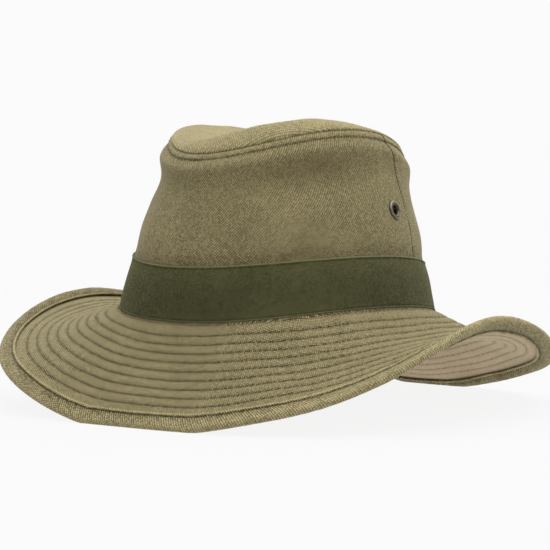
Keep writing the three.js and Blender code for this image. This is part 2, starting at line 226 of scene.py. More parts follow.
@dataclass(frozen=True)
class CrownForm:
    """Form of the crown: two ovals, the dents between them and the arched, dented tip."""

    band_top: Oval = Oval(97.5, 80.5, 1.0, 31.0, 4.5, -5.0, egg=0.02)
    tip_seam: Oval = Oval(79.0, 62.0, 3.5, 97.5, 6.5, -10.5, egg=-0.08, lean=-1.0, twist=1.0)
    wall: float = 1.6
    standoff: float = 1.5  # from the crown's cloth to the band's outer face
    pinch_left: float = 7.0  # depth on the wearer's left
    pinch_right: float = 0.5
    pinch_at: float = 0.63
    pinch_spread: float = 0.125
    pinch_angle: float = 54.0
    pinch_sweep: float = 25.0
    shoulder_front: float = 4.2
    shoulder_back: float = 3.0
    shoulder_at: float = 0.89
    shoulder_spread: float = 0.13
    swell: float = 1.2
    swell_at: float = 0.24
    swell_spread: float = 0.17
    tip_crest: float = 0.2
    tip_crest_front: float = -0.07  # added to it at the front
    tip_keen: float = 0.5  # how much of a ridge the crest is
    tip_rise: float = 5.5
    tip_corners: float = -0.5
    tip_slant: float = 2.5
    tip_ends: float = 1.0
    tip_twist: float = 3.5
    tip_dent: float = 1.3
    tip_lift: float = 1.9  # of the tip's top face above the seam oval

    @property
    def height(self) -> float:
        """Height of the crown's side between the band and the tip seam."""
        return self.tip_seam.height - self.band_top.height

    def out(self, angle: Array, share: Array) -> Array:
        """Direction out of the side, turned from the band's to the seam's by share."""
        return unit(mix(self.band_top.outward(angle), self.tip_seam.outward(angle), share[..., None]))

    def side(self, angle: Array, share: Array) -> Array:
        """Outer face of the side.

        Args:
            angle: angle round the head.
            share: share of the way from the band's top (0) to the tip seam (1).

        Returns:
            The straight line between the two ovals, moved out by a bell at the shoulder and one low swell
            and in by a bell at each front pinch.
        """
        low = self.band_top.point(angle) - self.standoff * self.band_top.outward(angle)
        turn = np.degrees(np.arccos(np.clip(np.cos(angle), -1, 1)))
        depth = mix(self.pinch_right, self.pinch_left, (1 + np.sin(angle)) / 2)
        pinch = depth * hump(share, self.pinch_at, self.pinch_spread)
        pinch = pinch * hump(turn, self.pinch_angle, self.pinch_sweep)
        shoulder = mix(self.shoulder_front, self.shoulder_back, smoothstep(turn, 30, 120))
        shoulder = shoulder * hump(share, self.shoulder_at, self.shoulder_spread)
        shoulder = shoulder * smoothstep(1 - share, 0, 0.15)
        swell = self.swell * hump(share, self.swell_at, self.swell_spread) * np.minimum(1, share / 0.1)
        relief = swell + shoulder - pinch
        straight = mix(low, self.tip_seam.point(angle), share[..., None])
        return straight + self.out(angle, share) * relief[..., None]

    def tip(self, angle: Array, share: Array) -> Array:
        """Top face of the tip.

        Args:
            angle: angle round the head.
            share: share of the way from the tip's centre (0) to its seam (1).

        Returns:
            The seam oval drawn in to its centre, raised by a quarter sine from the seam to the crest and
            lowered by a raised cosine from the crest to the centre. Both are mixed with a straighter line
            so that the crest is a soft ridge.
        """
        seam = self.tip_seam.point(angle)
        crest = self.tip_crest + self.tip_crest_front * np.cos(angle + 0.3)
        up = np.minimum((1 - share) / crest, 1)
        down = np.maximum(0, (1 - share - crest) / (1 - crest))
        arch = mix(np.sin(math.pi / 2 * up), up, self.tip_keen)
        dent = mix((1 - np.cos(math.pi * down)) / 2, np.sin(math.pi / 2 * down), self.tip_keen)
        twice = self.tip_ends * np.cos(2 * angle) + self.tip_twist * np.sin(2 * angle)
        rise = self.tip_rise + self.tip_slant * share * np.sin(angle) + share**2 * twice
        rise = rise + self.tip_corners * share**4 * np.cos(4 * angle)
        height = self.tip_seam.level(angle, share) + self.tip_lift + rise * (arch - self.tip_dent * dent)
        return np.stack([seam[..., 0] * share, mix(self.tip_seam.shift, seam[..., 1], share), height], -1)


@dataclass(frozen=True)
class BrimForm:
    """Form of the brim: arcs that leave the foot of the crown and flatten towards the edge."""

    foot: Oval = Oval(105.5, 87.0, 0, 0, 3.5, -5.5, egg=0.02, square_x=0.03, square_y=-0.08)
    width: float = 76.5
    thickness: float = 2.3
    inset: float = 1.2  # of the opening from the foot oval
    edge_rest: float = -55.8  # lowest height of the edge, where the hat rests
    # at even steps round the head, from the middle of the front towards the wearer's left
    sections: tuple[Section, ...] = (
        Section(-50, -46),  # front
        Section(-50, -23),
        Section(-48, 45),  # left
        Section(-27, -22),
        Section(-50, -28),  # back
        Section(-40, 0),
        Section(-30, 29),  # right
        Section(-27, -20),
    )

    def slopes(self, angle: Array) -> Array:
        """Slopes at the foot and the edge, in degrees.

        Args:
            angle: angle round the head.

        Returns:
            A last axis of two, on the closed Catmull-Rom curve through the sections: between two of them it
            is a cubic that leaves each along the line between that one's neighbours.
        """
        rows = np.array([(section.foot, section.edge) for section in self.sections], float)
        step = angle % TURN / TURN * len(rows)
        whole = np.floor(step).astype(int)
        t = (step - whole)[..., None]
        before, start, end, after = (rows[(whole + shift) % len(rows)] for shift in (-1, 0, 1, 2))
        once = end - before
        twice = 2 * before - 5 * start + 4 * end - after
        thrice = 3 * (start - end) + after - before
        return start + (once * t + twice * t**2 + thrice * t**3) / 2

    def slope(self, angle: Array, along: Array) -> Array:
        """Slope of the cloth, in radians: it changes evenly from the foot to the edge."""
        ends = self.slopes(angle)
        return np.radians(mix(ends[..., 0], ends[..., 1], np.maximum(along, 0) / self.width))

    def curve(self, angle: Array, along: Array) -> tuple[Array, Array]:
        """Reach outwards and height of the middle of the cloth.

        Args:
            angle: angle round the head.
            along: distance from the foot along the cloth.

        Returns:
            The two legs of an arc's chord, which runs at the mean of the arc's end slopes.
        """
        first = self.slope(angle, 0 * along)
        half = (self.slope(angle, along) - first) / 2
        chord = along * np.sinc(half / math.pi)
        return chord * np.cos(first + half), chord * np.sin(first + half)

    def point(self, angle: Array, along: Array, raised: Array) -> Array:
        """Point of the brim.

        Args:
            angle: angle round the head.
            along: distance from the foot along the cloth.
            raised: height square to the cloth above its middle.

        Returns:
            The foot oval plus the curve, moved square to the slope. The top face passes through the foot
            and the middle through the edge, and stretches of the edge that would be too low are lifted.
        """
        out, height = self.curve(angle, along)
        _, edge = self.curve(angle, self.width + 0 * along)
        slope = self.slope(angle, along)
        share = along / self.width
        lift = self.thickness / 2 * (share - 1) + raised
        foot = self.foot.point(angle)
        rest = np.maximum(0, self.edge_rest - foot[..., 2] - edge) * np.maximum(0, share) ** 3
        level = self.foot.outward(angle) * (out - lift * np.sin(slope))[..., None]
        upright = height + lift * np.cos(slope) + rest
        return foot + level + straight_up(upright)


@dataclass
class HatForm:
    """The hat's whole form, and where it stands in the frame."""

    crown: CrownForm = field(default_factory=CrownForm)
    brim: BrimForm = field(default_factory=BrimForm)
    place: Array = field(default_factory=lambda: np.zeros(3))

    def band(self, angle: Array, share: Array, depth: Array) -> Array:
        """Outer face of the band, or a face set in from it.

        Args:
            angle: angle round the head.
            share: share of the way from the foot to the band's top.
            depth: how far in from the outer face.

        Returns:
            The straight line between the foot oval and the band's top oval, both set in.
        """
        low, high = self.brim.foot, self.crown.band_top
        inner = low.point(angle) - low.outward(angle) * depth[..., None]
        upper = high.point(angle) - high.outward(angle) * depth[..., None]
        return mix(inner, upper, share[..., None])

    def stand(self) -> None:
        """Works out the hat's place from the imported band: the two bands' boxes have one top corner."""
        count = 48
        angle = np.arange(count) * TURN / count
        top = self.band(angle, np.ones(count), np.zeros(count))
        low, high = (np.array(corner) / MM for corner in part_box("hat_band"))
        self.place = np.array([
            (low[0] + high[0]) / 2 - (top[:, 0].min() + top[:, 0].max()) / 2,
            0,
            high[2] - top[:, 2].max(),
        ])
        foot = self.band(angle, np.zeros(count), np.zeros(count))
        self.place[1] = (low[1] + high[1]) / 2 - (foot[:, 1].min() + foot[:, 1].max()) / 2


# ------------------------------------------------------------------------------------------ meshes


class Ends(Enum):
    """How a loft ends along its columns."""

    JOINED = "the last column is the first"
    CAPPED = "each end has a flat cap"


@dataclass
class Loft:
    """A closed surface of sections set side by side, as arrays on a grid of columns x section points.

    Columns run round the head towards the wearer's left, and the section runs so that column x section
    points out of the cloth.
    """

    name: str
    points: Array  # columns, section points, 3; millimetres; a joined loft repeats its first column last
    cloth: Array  # columns, section points, 2; millimetres along the cloth's own threads
    tone: Array  # columns, section points; -1 for painted shade in grooves, joins and under parts, to 1 on ridges rubbed pale and given a painted highlight
    ends: Ends = Ends.JOINED
    poled: bool = False  # the section runs from one pole to another and is not a loop

    def build(self, place: Array) -> bpy.types.Object:
        """Makes the mesh object.

        A face joins points c and c + 1 of the columns and p and p + 1 of the section. At a pole every
        column has the same point, so its faces are triangles.

        Args:
            place: shift of the whole hat, in millimetres.

        Returns:
            The object, at the origin, with its cloth coordinates and its tone.
        """
        columns, rows = self.points.shape[:2]
        joined = self.ends is Ends.JOINED
        kept = columns - 1 if joined else columns
        number = np.arange(kept * rows).reshape(kept, rows)
        if joined:
            number = np.vstack([number, number[:1]])
        if self.poled:
            number = number.copy()
            number[:, 0] = number[0, 0]
            number[:, -1] = number[0, -1]
        spread = np.arange(columns * rows).reshape(columns, rows)
        if not self.poled:
            number = np.hstack([number, number[:, :1]])
            spread = np.hstack([spread, spread[:, :1]])
        corners = [(0, 0), (1, 0), (1, 1), (0, 1)]
        tall, wide = number.shape[0] - 1, number.shape[1] - 1
        faces = np.stack([number[c : c + tall, p : p + wide] for c, p in corners], -1).reshape(-1, 4)
        sources = np.stack([spread[c : c + tall, p : p + wide] for c, p in corners], -1).reshape(-1, 4)
        first_pole, last_pole = faces[:, 0] == faces[:, 1], faces[:, 2] == faces[:, 3]
        kinds = (
            (~(first_pole | last_pole), [0, 1, 2, 3]), (first_pole, [0, 2, 3]), (last_pole, [0, 1, 2]),
        )
        polygons = [face for chosen, order in kinds for face in faces[chosen][:, order].tolist()]
        loops = np.concatenate([sources[chosen][:, order].ravel() for chosen, order in kinds])
        smooth = [True] * len(polygons)
        if not joined:
            first, last = spread[0, :rows], spread[-1, :rows]
            polygons += [first[::-1].tolist(), last.tolist()]
            loops = np.concatenate([loops, first[::-1], last])
            smooth += [False, False]
        mesh = bpy.data.meshes.new(self.name)
        vertices = (self.points[:kept].reshape(-1, 3) + place) * MM
        mesh.from_pydata(vertices, [], polygons)
        layer = mesh.uv_layers.new(name="cloth")
        layer.data.foreach_set("uv", (self.cloth.reshape(-1, 2)[loops] * MM).astype(np.float32).ravel())
        tone = mesh.attributes.new("tone", "FLOAT", "POINT")
        tone.data.foreach_set("value", self.tone[:kept].astype(np.float32).ravel())
        mesh.polygons.foreach_set("use_smooth", smooth)
        if self.poled:
            loose_vertices_removed(mesh)
        mesh.validate()
        return linked(self.name, mesh)


def loose_vertices_removed(mesh: bpy.types.Mesh) -> None:
    """Removes the copies of a pole's vertex that no face uses.

    Args:
        mesh: the mesh, changed in place.
    """
    work = bmesh.new()
    work.from_mesh(mesh)
    bmesh.ops.delete(work, geom=[vertex for vertex in work.verts if not vertex.link_faces], context="VERTS")
    work.to_mesh(mesh)
    work.free()


def grid(angles: Array, rows: Array) -> tuple[Array, Array]:
    """Angle and row value at each point of a grid of columns x rows."""
    return np.broadcast_arrays(angles[:, None], np.atleast_2d(rows))


def round_angles(columns: int) -> Array:
    """Angles all the way round the head, with the first repeated last."""
    return np.linspace(-math.pi, math.pi, columns + 1)


def arc_lengths(points: Array) -> Array:
    """Distance walked along each column's direction, 0 at the column in the middle of the front.

    Args:
        points: columns x section points, in millimetres.

    Returns:
        One distance for each point, in millimetres.
    """
    steps = np.linalg.norm(np.diff(points, axis=0), axis=-1)
    walked = np.concatenate([np.zeros((1,) + steps.shape[1:]), np.cumsum(steps, 0)])
    return walked - walked[len(walked) // 2]


def picked(values: Array, walked: Array, at: Array) -> Array:
    """Values along a line at some distances walked, from those at its points."""
    return np.stack([np.interp(at, walked, values[:, k]) for k in range(3)], -1)


@dataclass(frozen=True)
class Thread:
    """Size of a row of lockstitches, in millimetres."""

    pitch: float = 2.9
    length: float = 2.35
    width: float = 0.5
    height: float = 0.42
    sink: float = 0.05
    rings: tuple[float, ...] = (0.18, 0.5, 0.82)
    sides: int = 5

    def build(self, name: str, rows: list[tuple[Array, Array]], place: Array) -> bpy.types.Object:
        """Makes every stitch of several rows as one mesh.

        A stitch is a lens: rings of a width and a height that follow the sine of the share along it, closed
        by a point at each end. Each lies along its row's direction, with its height along the cloth's
        normal, turned a few degrees and shifted a little, as a sewn thread is.

        Args:
            name: the object's name.
            rows: for each row the points of its line and the cloth's normals there, evenly close.
            place: shift of the whole hat, in millimetres.

        Returns:
            The object, at the origin.
        """
        middles, alongs, normals = (np.concatenate(part) for part in zip(*map(self.spread, rows)))
        rng = np.random.default_rng(len(middles))
        across = unit(np.cross(normals, alongs))
        alongs = unit(alongs + across * rng.normal(0, 0.05, (len(alongs), 1)))
        across = unit(np.cross(normals, alongs))
        share = np.array(self.rings)[:, None]
        turn = np.arange(self.sides) * TURN / self.sides
        body = np.sin(math.pi * share)
        ring = np.stack([
            np.broadcast_to((share - 0.5) * self.length, (len(self.rings), self.sides)),
            body * np.cos(turn) * self.width / 2,
            body * np.sin(turn) * self.height / 2 - self.sink,
        ], -1).reshape(-1, 3)
        tips = np.array([[-self.length / 2, 0, -2 * self.sink], [self.length / 2, 0, -2 * self.sink]])
        shape = np.vstack([ring, tips])
        axes = np.stack([alongs, across, normals], 1)
        lengths = rng.uniform(0.92, 1.06, (len(middles), 1, 1))
        vertices = middles[:, None] + np.einsum("vk,nkj->nvj", shape, axes) * lengths
        faces = self.faces()
        count = len(shape)
        offsets = np.arange(len(middles))[:, None] * count
        polygons = []
        for size in (3, 4):
            some = np.array([face for face in faces if len(face) == size])
            polygons += (offsets[:, :, None] + some[None]).reshape(-1, size).tolist()
        mesh = bpy.data.meshes.new(name)
        mesh.from_pydata((vertices.reshape(-1, 3) + place) * MM, [], polygons)
        mesh.polygons.foreach_set("use_smooth", [True] * len(mesh.polygons))
        return linked(name, mesh)

    def spread(self, row: tuple[Array, Array]) -> tuple[Array, Array, Array]:
        """Places stitches a pitch apart along one row: their middles, directions and normals.

        Args:
            row: points of the row's line and the cloth's normals there.

        Returns:
            Middles, directions and normals of the stitches.
        """
        points, normals = row
        walked = np.concatenate([[0], np.cumsum(np.linalg.norm(np.diff(points, axis=0), axis=-1))])
        places = np.arange(self.pitch / 2, walked[-1], self.pitch)
        reach = self.length / 2
        chords = picked(points, walked, places + reach) - picked(points, walked, places - reach)
        return picked(points, walked, places), unit(chords), unit(picked(normals, walked, places))

    def faces(self) -> list[list[int]]:
        """Faces of one stitch: quads between rings and a fan at each end.

        Returns:
            Numbers of each face's corners within one stitch.
        """
        rings, sides = len(self.rings), self.sides
        start, end = rings * sides, rings * sides + 1
        made = []
        for k in range(sides):
            after = (k + 1) % sides
            made.append([start, after, k])
            made.append([end, (rings - 1) * sides + k, (rings - 1) * sides + after])
            for r in range(rings - 1):
                made.append([r * sides + k, r * sides + after, (r + 1) * sides + after, (r + 1) * sides + k])
        return made


# ------------------------------------------------------------------------------------------ finishes


def linear(code: str) -> tuple[float, float, float, float]:
    """A colour's linear values, with alpha 1, from its sRGB hex code."""
    channels = [int(code[k : k + 2], 16) / 255 for k in (1, 3, 5)]
    return (*(c / 12.92 if c <= 0.04045 else ((c + 0.055) / 1.055) ** 2.4 for c in channels), 1.0)


Source = tuple[bpy.types.Node, int | str]


def fill(tree: bpy.types.NodeTree, node: bpy.types.Node, inputs: dict[int | str, object]) -> None:
    """Gives a node's sockets their values, or links them from (node, output).

    Args:
        tree: the node tree.
        node: the node.
        inputs: for each socket a value, or (node, output) to link from.
    """
    for key, value in inputs.items():
        if isinstance(value, tuple) and isinstance(value[0], bpy.types.Node):
            tree.links.new(value[0].outputs[value[1]], node.inputs[key])
        else:
            node.inputs[key].default_value = value


def add_node(
    tree: bpy.types.NodeTree, kind: str, settings: dict[str, object], inputs: dict[int | str, object]
) -> bpy.types.Node:
    """Adds a node.

    Args:
        tree: the node tree.
        kind: the node's type.
        settings: attributes to set on it.
        inputs: for each socket a value, or (node, output) to link from.

    Returns:
        The node.
    """
    node = tree.nodes.new(kind)
    for key, value in settings.items():
        setattr(node, key, value)
    fill(tree, node, inputs)
    return node


def new_material(name: str) -> tuple[bpy.types.Material, bpy.types.NodeTree, bpy.types.Node]:
    """Makes a material: itself, its node tree and its shader.

    Args:
        name: the material's name.

    Returns:
        The material, its node tree and its shader.
    """
    made = bpy.data.materials.new(name)
    made.use_nodes = True
    return made, made.node_tree, made.node_tree.nodes["Principled BSDF"]


def noise(
    tree: bpy.types.NodeTree, place: Source, size: float, detail: float, roughness: float = 0.5
) -> Source:
    """Noise at a place, of a size in millimetres."""
    inputs = {"Vector": place, "Scale": 1 / (size * MM), "Detail": detail, "Roughness": roughness}
    return add_node(tree, "ShaderNodeTexNoise", {}, inputs), 0


def two_tone(tree: bpy.types.NodeTree, share: Source, low: str, high: str) -> Source:
    """Mix of two colours by a share of the second."""
    inputs = {0: share, 6: linear(low), 7: linear(high)}
    return add_node(tree, "ShaderNodeMix", {"data_type": "RGBA"}, inputs), 2


def weighted(tree: bpy.types.NodeTree, source: Source, weight: float, before: Source | float) -> Source:
    """before + weight x (source - 0.5), for adding one pattern to a sum of patterns.

    Args:
        tree: the node tree.
        source: the pattern, about 0 to 1.
        weight: how much of it is added.
        before: the sum so far.

    Returns:
        The new sum.
    """
    start = add_node(tree, "ShaderNodeMath", {"operation": "ADD"}, {0: before, 1: -weight / 2})
    both = add_node(
        tree, "ShaderNodeMath", {"operation": "MULTIPLY_ADD"}, {0: source, 1: weight, 2: (start, 0)}
    )
    return both, 0


class Weave(Enum):
    """Ways that the ribs of a weave lie on the cloth, as their angle in degrees."""

    TWILL = -52
    BIAS = 60
    REVERSE = 55


@dataclass(frozen=True)
class Cloth:
    """A woven cotton: matt, with a soft nap that catches light at a glancing angle.

    Each float of its weave is a speck, paler or darker than its neighbours, and the specks line up in
    ribs. Real threads are about 0.4 mm apart. They are drawn two to three times as coarse, so as to show.
    """

    name: str
    groove: str  # colour between threads and in the painted shade of grooves
    ridge: str  # colour on top of threads and on ridges, rubbed pale and with a painted highlight
    weave: Weave = Weave.TWILL
    pitch: float = 1.1  # between ribs, and between floats along a rib, in millimetres
    speck: float = 1.1
    rib: float = 0.2
    grain: float = 0.08
    cloud: float = 0.2
    base: float = 0.62  # share of the ridge colour in plain cloth
    # weight of the tone: rubbing on ridges, painted shade in grooves and a painted highlight on ridges
    wear_and_shade: float = 0.42
    bump: float = 0.4
    sheen: float = 0.2
    sheen_tint: str = "#ebe3c4"
    roughness: float = 0.92

    def material(self) -> bpy.types.Material:
        """Makes the material: floats, ribs, grain, clouds and the tone (rubbing, painted shade and painted
        highlight) mix its two colours.

        Returns:
            The material.
        """
        made, tree, shader = new_material(self.name)
        cloth = add_node(tree, "ShaderNodeUVMap", {"uv_map": "cloth"}, {})
        across = 1 / (self.pitch * MM)
        turned = add_node(
            tree, "ShaderNodeMapping", {},
            {
                "Vector": (cloth, 0), "Rotation": (0, 0, math.radians(self.weave.value)),
                "Scale": (across, across, 0),
            },
        )
        floats = add_node(
            tree, "ShaderNodeTexVoronoi", {"voronoi_dimensions": "2D"},
            {"Vector": (turned, 0), "Scale": 1.0, "Randomness": 0.18},
        )
        period = 0.314  # of a wave texture whose scale is 1
        ribs = add_node(
            tree, "ShaderNodeTexWave", {"bands_direction": "X"},
            {"Vector": (turned, 0), "Scale": period, "Distortion": 0.8, "Detail": 1.0, "Detail Scale": 0.3},
        )
        grain = noise(tree, (cloth, 0), 1.6, 2.0, 0.6)
        place = add_node(tree, "ShaderNodeTexCoord", {}, {})
        patches = noise(tree, (place, "Object"), 26, 3.0, 0.55)
        tone = add_node(tree, "ShaderNodeAttribute", {"attribute_name": "tone"}, {})
        round_top = add_node(
            tree, "ShaderNodeMapRange", {}, {0: (floats, "Distance"), 1: 0.05, 2: 0.6, 3: 1.0, 4: 0.0}
        )
        shade = add_node(tree, "ShaderNodeMapRange", {}, {0: (floats, "Color"), 3: 0.35, 4: 1.0})
        lit = add_node(
            tree, "ShaderNodeMath", {"operation": "MULTIPLY"}, {0: (round_top, 0), 1: (shade, 0)}
        )
        value: Source | float = self.base
        for source, weight in (
            ((lit, 0), self.speck), ((ribs, 1), self.rib), (grain, self.grain), (patches, self.cloud),
        ):
            value = weighted(tree, source, weight, value)
        # the tone attribute adds rubbing, painted shade and a painted highlight to the share of the ridge
        # colour
        worn_and_shaded = add_node(
            tree, "ShaderNodeMath", {"operation": "MULTIPLY_ADD", "use_clamp": True},
            {0: (tone, "Fac"), 1: self.wear_and_shade, 2: value},
        )
        relief = weighted(tree, (ribs, 1), 0.5, (round_top, 0))
        bump = add_node(
            tree, "ShaderNodeBump", {},
            {"Height": relief, "Strength": self.bump, "Distance": 0.25 * MM},
        )
        fill(tree, shader, {
            "Base Color": two_tone(tree, (worn_and_shaded, 0), self.groove, self.ridge), "Normal": (bump, 0),
            "Roughness": self.roughness, "Specular IOR Level": 0.3,
            "Sheen Weight": self.sheen, "Sheen Roughness": 0.35, "Sheen Tint": linear(self.sheen_tint),
        })
        return made


@dataclass(frozen=True)
class SewingThread:
    """Spun polyester thread: its ply shows as light and dark along it."""

    name: str
    dark: str
    light: str

    def material(self) -> bpy.types.Material:
        """Makes the material: fine noise mixes the two colours.

        Returns:
            The material.
        """
        made, tree, shader = new_material(self.name)
        place = add_node(tree, "ShaderNodeTexCoord", {}, {})
        ply = noise(tree, (place, "Object"), 1.5, 1.0)
        fill(tree, shader, {
            "Base Color": two_tone(tree, ply, self.dark, self.light), "Roughness": 0.7, "Sheen Weight": 0.1,
        })
        return made


@dataclass(frozen=True)
class AgedBrass:
    """Antique brass: plated dark, and rubbed bright where it stands out."""

    name: str = "antique_brass"
    dark: str = "#37332a"
    bright: str = "#a49b86"

    def material(self) -> bpy.types.Material:
        """Makes the material: stains and the tone of the rims mix the dark and the bright metal.

        Returns:
            The material.
        """
        made, tree, shader = new_material(self.name)
        place = add_node(tree, "ShaderNodeTexCoord", {}, {})
        stains = noise(tree, (place, "Object"), 1.4, 4.0, 0.6)
        tone = add_node(tree, "ShaderNodeAttribute", {"attribute_name": "tone"}, {})
        share = add_node(
            tree, "ShaderNodeMath", {"operation": "MULTIPLY_ADD", "use_clamp": True},
            {0: stains, 1: 0.5, 2: (tone, "Fac")},
        )
        pits = add_node(
            tree, "ShaderNodeBump", {}, {"Height": stains, "Strength": 0.15, "Distance": 0.1 * MM}
        )
        rough = add_node(tree, "ShaderNodeMapRange", {}, {0: stains, 3: 0.5, 4: 0.28})
        fill(tree, shader, {
            "Base Color": two_tone(tree, (share, 0), self.dark, self.bright), "Roughness": (rough, 0),
            "Normal": (pits, 0), "Metallic": 1.0,
        })
        return made


CANVAS = Cloth("cotton_canvas", groove="#3b3317", ridge="#bdb083")
BAND_TWILL = Cloth(
    "cotton_twill", groove="#1d1f0c", ridge="#737148", speck=1.3, wear_and_shade=0.5, sheen_tint="#a39c68"
)
UNDER_CANVAS = Cloth("tan_cotton_canvas", groove="#665239", ridge="#d6c4a3", weave=Weave.REVERSE, speck=0.6)
BIAS_TAPE = replace(CANVAS, name="bias_tape", weave=Weave.BIAS, pitch=1.35, speck=1.5, bump=0.5)
OLIVE_THREAD = SewingThread("olive_thread", "#4a4428", "#756c48")
BROWN_THREAD = SewingThread("brown_thread", "#36260f", "#5e4828")
BAND_THREAD = SewingThread("dark_thread", "#26240f", "#5b5a38")


def dress(piece: bpy.types.Object, material: bpy.types.Material, slot: str, *nodes: str) -> None:
    """Gives a piece its material and its body, and hides the nodes that it stands for.

    Args:
        piece: the finished object.
        material: its material.
        slot: not used.
        nodes: the frame's nodes that the piece replaces.
    """
    piece.data.materials.append(material)
    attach(piece, "root")
    if nodes:
        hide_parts(*nodes)
    LOG.info("%s: %d faces", piece.name, len(piece.data.polygons))


# ------------------------------------------------------------------------------------------ crown


@dataclass
class Crown:
    """Tip and two side panels, sewn with raised folds."""

    form: HatForm
    columns: int = 640
    seam_angle: float = math.radians(105)  # of the side seams, from the middle of the front
    fold_width: float = 3.3  # of the raised fold below the tip
    fold_rise: float = 0.65
    side_fold_width: float = 5.0
    side_fold_rise: float = 0.5
    lap: float = 2.4  # of the front panel under the back one
    turn_down: float = 2.6  # of the side below the foot
    slant: float = 1.03  # distance up the sloping side for each millimetre of height
    tip_row: float = 0.5  # of the stitches below the tip's fold
    side_row: float = 1.5  # of the stitches behind the side seams
    side_row_end: float = 3.6  # of those stitches below the tip seam
    row_points: int = 900  # of the line that a row of stitches follows
    stitches: Thread = Thread(pitch=2.8, length=2.2, width=0.46, height=0.34)

    def seam(self, share: Array | float) -> Array | float:
        """Angle of the side seams at a share of the side's height: they lean forwards at the top."""
        return self.seam_angle + math.radians(4.5) - math.radians(10.5) * share**3

    def seam_distance(self, angle: Array, share: Array) -> Array:
        """Distance behind the nearer side seam along the cloth, negative in front of it."""
        radius = mix(self.form.crown.band_top.half_width, self.form.crown.tip_seam.half_width, share)
        return (np.arccos(np.clip(np.cos(angle), -1, 1)) - self.seam(share)) * radius

    def leant(self, angle: Array, share: Array, behind: bool) -> Array:
        """Column angles of a panel, stretched so that its ends follow the leaning seams.

        Args:
            angle: angle of a column if the seams were upright.
            share: share of the way up the side.
            behind: True on the back panel, whose middle is at half a turn.

        Returns:
            The angle turned about the panel's middle in proportion to its distance from there.
        """
        if behind:
            return math.pi + (angle - math.pi) * (math.pi - self.seam(share)) / (math.pi - self.seam_angle)
        return angle * self.seam(share) / self.seam_angle

    def relief(self, angle: Array, share: Array, behind: bool) -> tuple[Array, Array]:
        """Seams and softness of the side panels on top of the crown's form.

        Args:
            angle: angle round the head.
            share: share of the way from the band's top to the tip seam.
            behind: True on the back panel.

        Returns:
            How far the cloth stands out, in millimetres, and its tone.
        """
        form = self.form.crown
        below = (1 - share) * form.height
        places = form.side(angle, share)
        seam = self.seam_distance(angle, share)
        fold = self.fold_rise * (1 - smoothstep(below, self.fold_width - 0.7, self.fold_width + 0.1))
        groove = hump(below, self.fold_width + 0.45, 0.45)
        rounding = 0.45 * (1 - smoothstep(below, 0, 1.3))
        puckers = 0.14 * gathers(angle, 50, 120, 3) * np.exp(-np.maximum(below - self.fold_width, 0) / 5)
        soft = 0.35 * clouds(places, 46, 11) + 0.1 * clouds(places, 15, 12)
        ripple = 1 + 0.3 * clouds(places, 5, 13)
        out = fold * ripple - 0.25 * groove - rounding + puckers + soft * smoothstep(share, 0, 0.1)
        # tone: lighter on the fold below the tip (rubbing and painted highlight), painted shade in the groove
        # under it and at the seam's edge
        tone = 0.35 * hump(below, 1.1, 0.9) - 0.5 * groove - 0.3 * hump(below, 0, 0.3)
        # painted shadow on the crown just above the band
        tone = tone - 0.35 * hump(share * form.height, 0, 6)
        if behind:
            wide = self.side_fold_width
            edge = self.side_fold_rise * (1 - smoothstep(seam, wide - 1.5, wide))
            edge = edge * smoothstep(seam, -0.1, 0.5) * (1 + 0.25 * clouds(places, 4, 14))
            out = out + edge
            # lighter along the side fold (rubbing and painted highlight), painted shade at its seam edge and
            # its far edge
            tone = tone + 0.25 * hump(seam, 0.9, 0.7) - 0.35 * hump(seam, 0.0, 0.3)
            tone = tone - 0.12 * hump(seam, wide, 0.6)
        else:
            tuck = smoothstep(seam, -0.7, 0.2)
            out = out - 0.9 * tuck
            # painted shade where the front panel tucks under the back one
            tone = tone - 0.4 * hump(seam, 0.0, 0.7)
        return out, tone

    def rows(self) -> tuple[Array, Array]:
        """Shares up the outer face, close together at the tip seam, and wide apart up the inner face.

        Returns:
            Shares of the outer face and of the inner face.
        """
        height = self.form.crown.height
        fine = np.array([6, 5.4, 4.8, 4.4, 4.1, 3.8, 3.5, 3.2, 2.9, 2.6, 2.2, 1.7, 1.2, 0.8, 0.4, 0.0])
        outer = np.concatenate([np.linspace(0, 1 - 6.6 / height, 84), 1 - fine / height])
        return outer, np.linspace(1, 0, 18)

    def panel(self, name: str, angles: Array, behind: bool) -> Loft:
        """One side panel.

        Its section runs up behind the band, up the outer face, over the top edge, down the inner face and
        back to the foot.

        Args:
            name: the piece's name.
            angles: angle of each column.
            behind: True for the back panel.

        Returns:
            The loft.
        """
        form = self.form.crown
        outer, inner = self.rows()
        angle, share = grid(angles, outer)
        angle = self.leant(angle, share, behind)
        out, tone = self.relief(angle, share, behind)
        outside = form.side(angle, share) + form.out(angle, share) * out[..., None]
        inner_angle, inner_share = grid(angles, inner)
        inner_angle = self.leant(inner_angle, inner_share, behind)
        rise, _ = self.relief(inner_angle, inner_share, behind)
        depth = np.minimum(rise, 0.3) - form.wall
        inside = form.side(inner_angle, inner_share) + form.out(inner_angle, inner_share) * depth[..., None]
        low_angle, low_share = grid(self.leant(angles, 0.0, behind), np.array([0.0, 0.0, 0.35, 0.7]))
        drop = np.array([self.turn_down, 0, 0, 0])
        depth = 0 * low_share + form.standoff
        covered = self.form.band(low_angle, low_share, depth) - straight_up(0 * low_share + drop)
        under = self.form.band(low_angle[:, ::-1], low_share[:, ::-1], depth + form.wall)
        under = under - straight_up(0 * low_share + drop[::-1])
        points = np.concatenate([covered, outside, inside, under], 1)
        middle = form.side(angles, np.full(len(angles), 0.5))
        along = arc_lengths(middle)[:, None] + 0 * points[..., 0]
        up = points[..., 2] * self.slant
        # painted shade: darker where the band covers the panel and on the inner face
        tones = np.concatenate([0 * low_share - 0.3, tone, 0 * inner_share - 0.2, 0 * low_share - 0.2], 1)
        return Loft(name, points, np.stack([along, up], -1), tones, ends=Ends.CAPPED)

